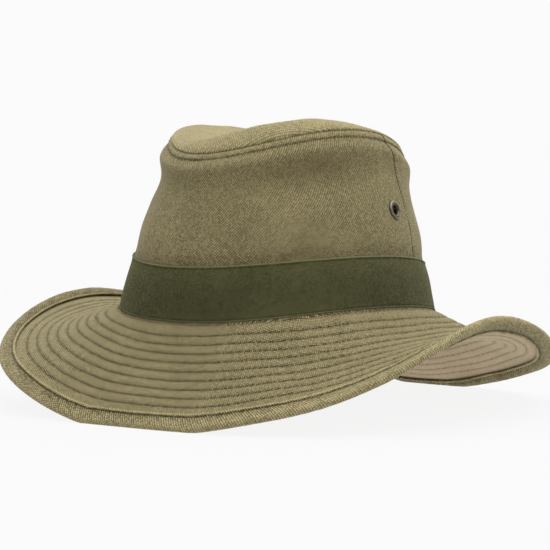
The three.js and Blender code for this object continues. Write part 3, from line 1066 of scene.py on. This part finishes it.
    def tip(self) -> Loft:
        """Top panel: its section runs in under the tip, from the pole to the edge and back over the top.

        Returns:
            The loft.
        """
        form = self.form.crown
        reach = 70.0  # from the centre to the seam, on average
        rim = np.array([2.4, 2.0, 1.6, 1.2, 0.9, 0.6, 0.35, 0.15, 0.0])
        shares = np.concatenate([np.linspace(0, 1 - 3 / reach, 56), 1 - rim / reach])
        angles = round_angles(self.columns)
        angle, share = grid(angles, shares[::-1])
        below = (1 - share) * reach
        top = form.tip(angle, share)
        soft = 0.3 * clouds(top, 34, 21) + 0.1 * clouds(top, 12, 22)
        puckers = 0.05 * gathers(angle, 40, 90, 5) * np.exp(-below / 5)
        round_off = 1.5 * (1 - np.sqrt(1 - np.clip(1 - below / 4.0, 0, 1) ** 2))
        height = (soft + puckers) * smoothstep(below, 0, 4) - round_off
        top = top + straight_up(height)
        low_angle, low_share = grid(angles, np.linspace(0, 1, 14))
        bottom = form.tip(low_angle, low_share) - np.array([0, 0, 1.7])
        points = np.concatenate([bottom, top], 1)
        # painted light: the whole top lighter as overhead light makes it, a little more on the rounded rim,
        # with painted shade at the seam's edge
        tip_painted_light = 0.35 + 0.1 * hump(below, 2.5, 2) - 0.4 * hump(below, 0, 0.3)
        # painted shade on the hidden underside of the tip
        tone = np.concatenate([0 * low_share - 0.2, tip_painted_light], 1)
        return Loft("crown_tip_cloth", points, points[..., :2], tone, poled=True)

    def seam_rows(self) -> list[tuple[Array, Array]]:
        """Stitch rows below the tip and along both side seams.

        Returns:
            For each row the points of its line and the cloth's normals there.
        """
        form = self.form.crown
        angle = round_angles(self.row_points)
        share = np.full(len(angle), 1 - (self.fold_width + self.tip_row) / form.height)
        behind = np.cos(angle) < math.cos(self.seam(1.0))
        out = np.where(behind, self.relief(angle, share, True)[0], self.relief(angle, share, False)[0])
        normal = form.out(angle, share)
        rows = [(form.side(angle, share) + normal * out[:, None], normal)]
        up = np.linspace(0.0, 1 - self.side_row_end / form.height, 200)
        radius = mix(form.band_top.half_width, form.tip_seam.half_width, up)
        for side in (-1, 1):
            turn = side * (self.seam(up) + self.side_row / radius)
            out = self.relief(turn, up, True)[0]
            normal = form.out(turn, up)
            rows.append((form.side(turn, up) + normal * out[:, None], normal))
        return rows

    def build(self, eyelets: "Eyelets") -> None:
        """Makes the crown's pieces, with holes for the eyelets in the front panel.

        Args:
            eyelets: the eyelets that pierce the front panel.
        """
        canvas = CANVAS.material()
        place = self.form.place
        dress(self.tip().build(place), canvas, "canvas", "crown_tip")
        lap = self.lap / self.form.crown.band_top.half_width
        front = np.linspace(-self.seam_angle - lap, self.seam_angle + lap, 400)
        panel = self.panel("crown_front_cloth", front, False).build(place)
        eyelets.pierce(panel)
        dress(panel, canvas, "canvas", "crown_side_front")
        back = np.linspace(self.seam_angle, TURN - self.seam_angle, 300)
        dress(self.panel("crown_back_cloth", back, True).build(place), canvas, "canvas", "crown_side_back")
        thread = self.stitches.build("crown_stitching", self.seam_rows(), place)
        dress(thread, OLIVE_THREAD.material(), "canvas")


# ------------------------------------------------------------------------------------------ eyelets


@dataclass
class Eyelets:
    """Two rolled metal eyelets, one in each side of the crown. Radii and heights in millimetres."""

    form: HatForm
    crown: Crown
    angle: float = math.radians(98)
    share: float = 0.375
    sides: int = 56
    hole: float = 2.5
    barrel: float = 3.1
    flange: float = 5.7
    washer: float = 4.9
    punch_sides: int = 40
    punch_gap: float = 0.3  # round the barrel
    punch_reach: float = 6.0

    def seat(self, side: int) -> tuple[Array, Array]:
        """Point on the cloth and direction square out of it, from the cross product of two short chords.

        Args:
            side: 1 on the wearer's left, -1 on the right.

        Returns:
            Place in millimetres and unit axis.
        """
        turn, share = np.array(side * self.angle), np.array(self.share)
        surface = self.form.crown.side
        along = surface(turn + 0.01, share) - surface(turn - 0.01, share)
        up = surface(turn, share + 0.01) - surface(turn, share - 0.01)
        axis = unit(np.cross(along, up))
        out, _ = self.crown.relief(turn, share, False)
        return surface(turn, share) + axis * out + self.form.place, axis

    def stand(self, side: int) -> Matrix:
        """Matrix that takes a piece made along +Z to its seat, in metres.

        Args:
            side: 1 on the wearer's left, -1 on the right.

        Returns:
            The matrix.
        """
        place, axis = self.seat(side)
        turn = Vector(axis).to_track_quat("Z", "Y").to_matrix().to_4x4()
        return Matrix.Translation(Vector(place * MM)) @ turn

    def pierce(self, panel: bpy.types.Object) -> None:
        """Cuts a round hole for each barrel through a panel.

        Args:
            panel: the panel, whose mesh is replaced by the pierced one.
        """
        for side in (-1, 1):
            sides, reach = self.punch_sides, self.punch_reach * MM
            ring = np.linspace(0, TURN, sides, endpoint=False)
            radius = (self.barrel + self.punch_gap) * MM
            circle = np.stack([np.cos(ring) * radius, np.sin(ring) * radius], -1)
            points = np.vstack([np.column_stack([circle, np.full(sides, z)]) for z in (-reach, reach)])
            faces = [[k, (k + 1) % sides, (k + 1) % sides + sides, k + sides] for k in range(sides)]
            faces += [list(range(sides - 1, -1, -1)), list(range(sides, 2 * sides))]
            mesh = bpy.data.meshes.new("punch")
            mesh.from_pydata(points, [], faces)
            mesh.transform(self.stand(side))
            punch = linked("punch", mesh)
            cut = panel.modifiers.new("hole", "BOOLEAN")
            cut.operation, cut.object, cut.solver = "DIFFERENCE", punch, "EXACT"
            graph = bpy.context.evaluated_depsgraph_get()
            made = bpy.data.meshes.new_from_object(panel.evaluated_get(graph))
            panel.modifiers.clear()
            panel.data = made
            bpy.data.objects.remove(punch)

    def profile(self) -> Array:
        """Section of an eyelet as radius, height and tone, from inside the barrel round the flange.

        Returns:
            One row for each point of the section.
        """
        wall = self.form.crown.wall
        back = -wall - 0.6
        funnel = np.linspace(0, math.pi / 2, 9)
        mouth = self.hole + 1.7 * (1 - np.cos(funnel))
        inner = np.column_stack([mouth, -0.75 + 1.9 * np.sin(funnel), -0.5 + 0.5 * np.sin(funnel)])
        roll = np.linspace(math.pi / 2, -0.35 * math.pi, 9)[1:]
        edge_radius = 0.75
        middle = self.flange - edge_radius
        outer = np.column_stack([
            middle + edge_radius * np.cos(roll), 0.4 + edge_radius * np.sin(roll), 0.35 * np.sin(roll) + 0.1,
        ])
        return np.vstack([
            [[self.hole, back, -0.6]], inner, outer,
            [[self.barrel + 0.4, 0.05, -0.4], [self.barrel, -0.2, -0.5], [self.barrel, -wall - 0.2, -0.5]],
            [[self.washer, -wall - 0.2, -0.2], [self.washer, back, 0.2], [self.hole + 0.5, back - 0.3, 0.1]],
        ])

    def build(self) -> None:
        """Makes both eyelets, each a profile turned round its axis."""
        brass = AgedBrass().material()
        profile = self.profile()
        turn = np.linspace(0, TURN, self.sides + 1)[:, None]
        radius, height, tone = (profile[None, :, k] + 0 * turn for k in range(3))
        points = np.stack([radius * np.cos(turn), radius * np.sin(turn), height], -1)
        for side, word in ((1, "left"), (-1, "right")):
            loft = Loft(f"eyelet_{word}_metal", points, points[..., :2], tone)
            piece = loft.build(np.zeros(3))
            piece.data.flip_normals()
            piece.data.transform(self.stand(side))
            dress(piece, brass, "antique_brass", f"eyelet_{word}")


# ------------------------------------------------------------------------------------------ band


@dataclass
class Band:
    """Flat band of twill round the foot of the crown, with folded and stitched edges."""

    form: HatForm
    columns: int = 720
    wall: float = 1.2
    tuck: float = 0.5  # of the outer face from its oval
    gap: float = 0.3  # above the brim
    fold: float = 1.5  # width of the folded edges
    plain_height: float = 31.0  # for spacing its rows and laying out its twill
    row_inset: float = 0.15  # of the stitches from the folds
    row_points: int = 900
    stitches: Thread = Thread(pitch=2.7, length=1.9, width=0.42, height=0.3)

    def height(self, angle: Array) -> Array:
        """Height of the band between its edges."""
        return self.form.crown.band_top.point(angle)[..., 2] - self.form.brim.foot.point(angle)[..., 2]

    def relief(self, angle: Array, share: Array) -> tuple[Array, Array]:
        """Folded edges, a soft bulge and creases.

        Args:
            angle: angle round the head.
            share: share of the way from the foot to the top.

        Returns:
            How far the cloth stands out, in millimetres, and its tone.
        """
        tall = self.height(angle)
        low, high = share * tall, (1 - share) * tall
        edge = np.minimum(low, high)
        places = self.form.band(angle, share, 0 * share)
        bead = 0.35 * hump(edge, 0.7, 0.6) - 0.25 * hump(edge, self.fold, 0.4)
        rounding = 0.5 * (1 - smoothstep(edge, 0, 0.7))
        body = 0.25 * np.sin(math.pi * share) * smoothstep(edge, 1, 8) - self.tuck
        soft = (0.3 * clouds(places, 60, 31) + 0.15 * clouds(places, 18, 32)) * smoothstep(edge, 0, 6)
        pull = 0.1 * gathers(angle, 60, 130, 33) * hump(edge, 1.5, 2.5)
        # tone: lighter on the folded edges (rubbing and painted highlight), painted shade just inside them
        tone = 0.85 * hump(edge, 0.45, 0.55) - 0.45 * hump(edge, self.fold + 0.1, 0.45)
        # painted light: lighter towards the band's top and bottom edges
        tone = tone + 0.2 * hump(high, 0, 9) + 0.12 * hump(low, 0, 6)
        return bead - rounding + body + soft + pull, tone

    def loft(self) -> Loft:
        """Ring of twill: its section runs up the outer face and down the inner one.

        Returns:
            The loft.
        """
        angles = round_angles(self.columns)
        edge = np.array([0.0, 0.2, 0.45, 0.7, 1.0, 1.3, 1.6, 1.9, 2.3, 2.8]) / self.plain_height
        first = 3.6 / self.plain_height  # of the even rows between the edges
        shares = np.concatenate([edge, np.linspace(first, 1 - first, 28), 1 - edge[::-1]])
        angle, share = grid(angles, shares)
        out, tone = self.relief(angle, share)
        foot, top = self.form.brim.foot, self.form.crown.band_top
        normal = unit(mix(foot.outward(angle), top.outward(angle), share[..., None]))
        outside = self.form.band(angle, share, 0 * share) + normal * out[..., None]
        low_angle, low_share = grid(angles, np.linspace(1, 0, 5))
        inside = self.form.band(low_angle, low_share, 0 * low_share + self.wall)
        points = np.concatenate([outside, inside], 1)
        slope = self.form.brim.slope(angles, 0 * angles)
        depth = np.zeros(points.shape[:2])
        depth[:, len(shares):] = self.wall
        share_all = np.concatenate([share, low_share], 1)
        lift = self.gap / np.cos(slope)[:, None] - depth * np.tan(slope)[:, None]
        points[..., 2] += lift * (1 - smoothstep(share_all, 0, 0.12))
        walked = arc_lengths(points[:, :1])
        cloth = np.stack([walked + 0 * points[..., 0], share_all * self.plain_height], -1)
        return Loft("hat_band_twill", points, cloth, np.concatenate([tone, 0 * low_share], 1))

    def edge_rows(self) -> list[tuple[Array, Array]]:
        """Stitch rows a little inside both edges.

        Returns:
            For each row the points of its line and the cloth's normals there.
        """
        angle = round_angles(self.row_points)
        low = (self.fold + self.row_inset) / self.height(angle)
        rows = []
        for share in (low, 1 - low):
            out, _ = self.relief(angle, share)
            normal = self.form.brim.foot.outward(angle)
            rows.append((self.form.band(angle, share, 0 * share) + normal * (out[:, None] + 0.02), normal))
        return rows

    def build(self) -> None:
        """Makes the band and its stitches."""
        dress(self.loft().build(self.form.place), BAND_TWILL.material(), "band_twill", "hat_band")
        thread = self.stitches.build("band_stitching", self.edge_rows(), self.form.place)
        dress(thread, BAND_THREAD.material(), "band_twill")


# ------------------------------------------------------------------------------------------ brim


class Face(Enum):
    """Side of the brim, as the sign of the height square to the cloth."""

    TOP = 1
    UNDER = -1


@dataclass
class Brim:
    """Two layers of canvas quilted by rings of stitches, bound at the edge with bias tape."""

    form: HatForm
    columns: int = 840
    layer: float = 1.0
    first_row: float = 8.2  # of stitches, from the foot
    row_gap: float = 6.36  # a quarter of an inch
    row_count: int = 9
    groove: float = 0.42
    puff: float = 0.3
    tape_wall: float = 1.0
    tape_width: float = 11.2
    tape_fold: float = 2.0
    tape_rise: float = 0.75
    tape_groove: float = 0.35
    gap: float = 0.3
    layer_ends: tuple[float, ...] = (9.6, 8.6, 7.6)  # last rows of a layer, from the edge, under the tape
    covered_from: tuple[float, float] = (11.6, 10.6)  # where quilting dies away under the tape, from the edge
    row_points: int = 1200
    stitches: Thread = Thread(pitch=2.9, length=2.3, width=0.5, height=0.36, sink=0.06)

    @property
    def edge_radius(self) -> float:
        """Radius of the rounded edge over both layers and the tape."""
        return self.form.brim.thickness / 2 + self.gap + self.tape_wall

    def wander(self, angle: Array, along: Array, face: Face) -> Array:
        """How far a stitch row strays from an even ring.

        Args:
            angle: angle round the head.
            along: distance from the foot along the cloth.
            face: which face of the brim.

        Returns:
            Distance along the cloth, in millimetres, from two sets of clouds.
        """
        shape = self.form.brim
        places = shape.point(angle, along, 0 * along)
        return 0.35 * clouds(places, 55, 41 + face.value) + 0.12 * clouds(places, 14, 45 + face.value)

    def relief(self, angle: Array, along: Array, face: Face) -> tuple[Array, Array]:
        """Quilting of a layer.

        Args:
            angle: angle round the head.
            along: distance from the foot along the cloth.
            face: which layer.

        Returns:
            Height above the layer's plain face, in millimetres: it puffs up between stitch rows, sinks to a
            groove at each and is gathered a little along it. Then the tone.
        """
        number = (along - self.first_row) / self.row_gap
        nearest = np.clip(np.round(number), 0, self.row_count - 1)
        away = np.abs(number - nearest) * self.row_gap
        places = self.form.brim.point(angle, along, 0 * along)
        seed = 60 + 10 * (face is Face.UNDER)
        pulled = gathers(angle + 0.7 * nearest, 70, 190, seed) * hump(away, 0.9, 1.6)
        creases = clouds(places * np.array([1, 1, 0.3]), 9, seed + 1)
        line = hump(away, 0, 0.42 if face is Face.TOP else 0.32)
        crown = 1 - hump(away, 0, 1.5)
        depth = 1.0 if face is Face.TOP else 0.45
        out = depth * (self.puff * crown - self.groove * line) + 0.13 * pulled + 0.07 * creases
        out = out + 0.25 * clouds(places, 40, seed + 2)
        inner = smoothstep(along, 0, 4)
        # painted shade in each stitch groove and beside it, painted highlight on the puffs between rows
        tone = -0.75 * line * (1 + 0.5 * pulled) - 0.12 * hump(away, 0.8, 0.8) + 0.1 * crown
        # painted shadow of the band on the top face at its foot
        tone = tone - 0.9 * hump(along, 0, 1.3) * (face is Face.TOP)
        return out * inner, tone

    def layer_rows(self) -> Array:
        """Distances from the foot, close together at each stitch row.

        Returns:
            The distances, in millimetres.
        """
        steps = np.array([-2.75, -2.1, -1.45, -0.9, -0.5, -0.22, 0, 0.22, 0.5, 0.9, 1.45, 2.1, 2.75])
        rings = self.first_row + self.row_gap * np.arange(self.row_count)
        inner = np.linspace(0, rings[0] - 3.4, 6)
        return np.concatenate([inner, (rings[:, None] + steps[::2]).ravel()])

    def cloth_layer(self, name: str, face: Face) -> Loft:
        """One layer of canvas.

        Args:
            name: the piece's name.
            face: which layer.

        Returns:
            The loft. Its section runs out along the lower face and back along the upper one.
        """
        shape = self.form.brim
        angles = round_angles(self.columns)
        rows = self.layer_rows()
        angle, row = grid(angles, rows)
        tail = shape.width - np.array([self.layer_ends]) + 0 * angles[:, None]
        angle = np.concatenate([angle, grid(angles, np.zeros(3))[0]], 1)
        row = np.concatenate([np.minimum(row, tail[:, :1] - 0.5), tail], 1)
        along = row + self.wander(angle, row, face) * smoothstep(row, 2, 8)
        out, tone = self.relief(angle, row, face)
        covered = smoothstep(along - shape.width, -self.covered_from[0], -self.covered_from[1])
        shown = face.value * (shape.thickness / 2 + out * (1 - covered))
        hidden = face.value * (shape.thickness / 2 - self.layer)
        visible = shape.point(angle, along, shown)
        back_angle, back = grid(angles, np.linspace(0, 1, 8))
        back = back * (shape.width - self.layer_ends[-1])
        buried = shape.point(back_angle, back, 0 * back + hidden)
        visible[:, 0] = self.opening(angles, shape.thickness / 2 * face.value)
        buried[:, 0] = self.opening(angles, hidden)
        both = (buried, visible[:, ::-1]) if face is Face.TOP else (visible, buried[:, ::-1])
        points = np.concatenate(both, 1)
        flat = shape.foot.point(angle) + shape.foot.outward(angle) * along[..., None]
        buried_flat = shape.foot.point(back_angle) + shape.foot.outward(back_angle) * back[..., None]
        tones = (0 * back, tone[:, ::-1]) if face is Face.TOP else (tone, 0 * back)
        flats = (buried_flat, flat[:, ::-1]) if face is Face.TOP else (flat, buried_flat[:, ::-1])
        return Loft(name, points, np.concatenate(flats, 1)[..., :2], np.concatenate(tones, 1))

    def opening(self, angles: Array, raised: float) -> Array:
        """Upright end of a layer at the brim's opening, set in from the foot oval.

        Args:
            angles: angle of each column.
            raised: height square to the cloth above its middle.

        Returns:
            One point for each column.
        """
        shape = self.form.brim
        slope = shape.slope(angles, 0 * angles)
        height = (raised - shape.thickness / 2) / np.cos(slope) - shape.inset * np.tan(slope)
        level = shape.foot.point(angles) - shape.foot.outward(angles) * shape.inset
        return level + straight_up(height)

    def tape_stray(self, angle: Array) -> Array:
        """How far the tape's inner fold strays from an even ring."""
        shape = self.form.brim
        return 0.25 * clouds(shape.point(angle, shape.width - self.tape_width, 0 * angle), 40, 74)

    def tape_section(self) -> tuple[Array, Array, Array]:
        """Section of the bias tape from the fold under the brim, round the edge, to the fold on top.

        Returns:
            Distance in from the edge, height of the outer face and tone. A leg has a rounded fold, a
            stitched groove and a slight swell, and the edge is half a circle.
        """
        radius, width, fold = self.edge_radius, self.tape_width, self.tape_fold
        turn = np.linspace(0, math.pi, 13)
        bead = math.pi * np.linspace(0, 1, 9)
        swell = np.linspace(width - fold - 1.3, radius + 0.2, 9)
        inward = np.concatenate([
            width - fold / 2 + fold / 2 * np.cos(bead), [width - fold - 0.35, width - fold - 0.75], swell
        ])
        height = np.concatenate([
            radius - 0.45 + (self.tape_rise + 0.45) * np.sin(bead) ** 0.7,
            [radius - self.tape_groove, radius - self.tape_groove * 0.75],
            radius - 0.1 + 0.3 * np.sin(np.linspace(0, 1, 9) * math.pi * 0.75),
        ])
        height[-1] = radius
        # tone: lighter on the fold bead (rubbing and painted highlight), painted shade in the stitched groove
        tone = np.concatenate([
            -0.5 + 1.2 * np.sin(bead), [-0.8, -0.5], np.linspace(-0.2, 0.2, 9)
        ])
        # the rounded edge is lighter at its outermost curve: rubbing and a painted highlight
        arc = (radius - radius * np.sin(turn), -radius * np.cos(turn), 0.2 + 0.4 * np.sin(turn))
        whole = [
            np.concatenate([leg, middle, mirrored[::-1]])
            for leg, middle, mirrored in zip((inward, -height, tone), arc, (inward, height, tone))
        ]
        return whole[0], whole[1], whole[2]

    def tape(self) -> Loft:
        """Bias tape folded over the edge: its outer face with a thin inner face under it.

        Returns:
            The loft.
        """
        shape = self.form.brim
        angles = round_angles(self.columns)
        inward, height, tone = self.tape_section()
        angle, inset = grid(angles, inward)
        raised = height[None] + 0 * inset
        places = shape.point(angle, shape.width - inset, raised)
        side = np.sign(height)[None]
        leg = smoothstep(np.abs(raised), 0.5, 2)
        wrinkles = 0.05 * gathers(angle + 0.006 * inset, 90, 170, 71) + 0.12 * clouds(places, 22, 72)
        bead = hump(inset, self.tape_width - self.tape_fold / 2, 1.0)
        uneven = 0.16 * clouds(places, 7, 73) * bead
        raised = raised + side * (wrinkles + uneven) * leg
        along = shape.width - inset - self.tape_stray(angle) * smoothstep(inset, 3, 8)
        outside = shape.point(angle, along, raised)
        thin_inward = np.array([10.6, 8, 5, 2.6, 1.2, 1.2, 2.6, 5, 8, 10.6])
        thin_height = np.array([-1.5, -1.5, -1.5, -1.5, -0.6, 0.6, 1.5, 1.5, 1.5, 1.5])
        thin_angle, thin_inset = grid(angles, thin_inward[::-1])
        inside = shape.point(
            thin_angle, shape.width - thin_inset, thin_height[::-1][None] + 0 * thin_inset
        )
        points = np.concatenate([outside, inside], 1)
        points[..., 2] = np.maximum(points[..., 2], -self.form.place[2])
        walked = arc_lengths(outside[:, len(inward) // 2])[:, None]
        across = np.concatenate([[0], np.cumsum(np.hypot(np.diff(inward), np.diff(height)))])
        v = np.concatenate([across, np.linspace(across[-1], 0, len(thin_inward))])
        cloth = np.stack([walked + 0 * points[..., 0], v[None] + 0 * points[..., 0]], -1)
        # painted shade on the hidden inner face of the tape
        tones = np.concatenate([tone, 0 * thin_inward - 0.5])[None] + 0 * points[..., 0]
        # random tone, and painted light: the tape lighter round the front towards the wearer's left and
        # darker round the back
        tones[:, : len(inward)] += 0.07 * clouds(places, 9, 75) + 0.3 * np.cos(angle - 0.6) * leg
        return Loft("brim_bias_tape", points, cloth, tones)

    def row_line(self, face: Face, along: Array, out: float) -> tuple[Array, Array]:
        """Line on the brim at distances from the foot, with the cloth's normals.

        Args:
            face: which face of the brim.
            along: distance from the foot at each point of the line.
            out: height square to the cloth above its middle.

        Returns:
            The line's points and the cloth's unit normals there.
        """
        shape = self.form.brim
        angle = round_angles(self.row_points)
        height = face.value * out
        points = shape.point(angle, along, 0 * angle + height)
        slope = shape.slope(angle, along)
        normal = straight_up(np.cos(slope)) - shape.foot.outward(angle) * np.sin(slope)[:, None]
        return points, unit(normal) * face.value

    def quilting(self, face: Face) -> list[tuple[Array, Array]]:
        """All stitch rows of one face of the brim.

        Args:
            face: which face of the brim.

        Returns:
            For each row the points of its line and the cloth's normals there.
        """
        angle = round_angles(self.row_points)
        rows = []
        for number in range(self.row_count):
            ring = np.full(len(angle), self.first_row + number * self.row_gap)
            along = ring + self.wander(angle, ring, face)
            out, _ = self.relief(angle, ring, face)
            points, normals = self.row_line(face, along, 0)
            rows.append((points + normals * (self.form.brim.thickness / 2 + out)[:, None], normals))
        return rows

    def tape_row(self, face: Face) -> tuple[Array, Array]:
        """Stitch row in the groove of the tape on one face.

        Args:
            face: which face of the brim.

        Returns:
            Points of the row's line and the cloth's normals there.
        """
        stray = self.tape_stray(round_angles(self.row_points))
        ditch = self.tape_width - self.tape_fold - 0.5
        along = self.form.brim.width - ditch - stray
        return self.row_line(face, along, self.edge_radius - self.tape_groove)

    def build(self) -> None:
        """Makes both layers, the tape and all stitching of the brim."""
        place = self.form.place
        olive, brown = OLIVE_THREAD.material(), BROWN_THREAD.material()
        top = self.cloth_layer("brim_top_cloth", Face.TOP).build(place)
        dress(top, CANVAS.material(), "canvas", "brim_top")
        under = self.cloth_layer("brim_under_cloth", Face.UNDER).build(place)
        dress(under, UNDER_CANVAS.material(), "under_canvas", "brim_underside")
        dress(self.tape().build(place), BIAS_TAPE.material(), "binding_tape", "brim_binding")
        rows = self.quilting(Face.TOP)
        dress(self.stitches.build("brim_top_stitching", rows, place), olive, "canvas")
        rows = self.quilting(Face.UNDER)
        dress(self.stitches.build("brim_under_stitching", rows, place), brown, "under_canvas")
        rows = [self.tape_row(face) for face in Face]
        dress(self.stitches.build("tape_stitching", rows, place), olive, "binding_tape")


# ------------------------------------------------------------------------------------------ studio


@dataclass
class Studio:
    """Pale floor, soft light from all round and above, and the camera."""

    form: HatForm
    floor_radius: float = 30.0
    azimuth: float = 38.563
    elevation: float = 4.367
    roll: float = 0.444
    distance: float = 1.4295
    lens: float = 156.4
    aim_right: float = -3.1  # of the picture's middle from the foot's centre, in millimetres
    aim_up: float = 21.1
    backdrop: float = 0.965
    sky: float = 0.16
    floor_glow: float = 0.885
    # name, strength, width of the light, azimuth from the back towards the wearer's left, elevation
    lamps: tuple[tuple[str, float, float, float, float], ...] = (
        ("overhead", 4.1, 110.0, 30.0, 80.0),
        ("rear", 1.3, 130.0, -38.0, 25.0),
    )

    def floor(self) -> None:
        """Flat disc of pale paper whose height is 0."""
        turn = np.linspace(0, TURN, 96, endpoint=False)
        ring = np.stack([np.cos(turn), np.sin(turn), 0 * turn], -1) * self.floor_radius
        mesh = bpy.data.meshes.new("studio_floor")
        mesh.from_pydata(ring, [], [list(range(96))])
        floor = linked("studio_floor", mesh)
        paper, tree, shader = new_material("pale_paper")
        place = add_node(tree, "ShaderNodeTexCoord", {}, {})
        fibre = add_node(tree, "ShaderNodeTexNoise", {}, {"Vector": (place, "Object"), "Scale": 40.0})
        fill(tree, shader, {
            "Base Color": two_tone(tree, (fibre, 0), "#3a3a3a", "#3e3e3e"), "Roughness": 0.95,
            "Emission Color": (1.0, 1.0, 1.0, 1.0), "Emission Strength": self.floor_glow,
            "Specular IOR Level": 0.0,
        })
        mesh.materials.append(paper)

    def lights(self) -> None:
        """Even pale sky and the broad lamps."""
        scene = bpy.context.scene
        world = bpy.data.worlds.new("soft_sky")
        world.use_nodes = True
        tree = world.node_tree
        shade = tree.nodes["Background"]
        shade.inputs["Color"].default_value = (1.0, 1.0, 1.0, 1.0)
        shade.inputs["Strength"].default_value = self.sky
        seen = add_node(
            tree, "ShaderNodeBackground", {}, {"Color": (1.0, 1.0, 1.0, 1.0), "Strength": self.backdrop}
        )
        ray = add_node(tree, "ShaderNodeLightPath", {}, {})
        both = add_node(
            tree, "ShaderNodeMixShader", {}, {0: (ray, "Is Camera Ray"), 1: (shade, 0), 2: (seen, 0)}
        )
        tree.links.new(both.outputs[0], tree.nodes["World Output"].inputs[0])
        scene.world = world
        scene.view_settings.view_transform = "Standard"
        for name, power, angle, azimuth, elevation in self.lamps:
            light = bpy.data.lights.new(name, "SUN")
            light.energy, light.angle = power, math.radians(angle)
            lamp = linked(name, light)
            turn, rise = math.radians(azimuth), math.radians(elevation)
            level = math.cos(rise)
            towards = Vector((math.sin(turn) * level, math.cos(turn) * level, math.sin(rise)))
            lamp.rotation_mode = "QUATERNION"
            lamp.rotation_quaternion = towards.to_track_quat("Z", "Y")

    def camera(self) -> None:
        """Camera at its distance from the foot's centre, aimed a little beside and above it."""
        a, e, r = (math.radians(angle) for angle in (self.azimuth, self.elevation, self.roll))
        back = Vector((math.sin(a) * math.cos(e), -math.cos(a) * math.cos(e), math.sin(e)))
        right = Vector((math.cos(a), math.sin(a), 0))
        up = back.cross(right)
        right, up = right * math.cos(r) + up * math.sin(r), up * math.cos(r) - right * math.sin(r)
        centre = Vector(self.form.place * MM)
        aim = centre + right * self.aim_right * MM + up * self.aim_up * MM
        eye = centre + back * self.distance
        towards = (eye - aim).normalized()
        side = up.cross(towards).normalized()
        turn = Matrix((side, towards.cross(side), towards)).transposed()
        data = bpy.data.cameras.new("camera")
        data.lens, data.sensor_width = self.lens, 36.0
        camera = linked("camera", data)
        camera.rotation_mode = "QUATERNION"
        camera.rotation_quaternion = turn.to_quaternion()
        camera.location = eye
        bpy.context.scene.camera = camera

    def build(self) -> None:
        """Makes the floor, the lights and the camera."""
        self.floor()
        self.lights()
        self.camera()


# ------------------------------------------------------------------------------------------ the hat


def main() -> None:
    """Builds the studio and every piece of the hat."""
    logging.basicConfig(level=logging.INFO, format="%(name)s: %(message)s")
    form = HatForm()
    form.stand()
    LOG.info("foot centre at %s mm", np.round(form.place, 2).tolist())
    Studio(form).build()
    crown = Crown(form)
    eyelets = Eyelets(form, crown)
    crown.build(eyelets)
    eyelets.build()
    Band(form).build()
    Brim(form).build()


if __name__ == "__main__":
    main()
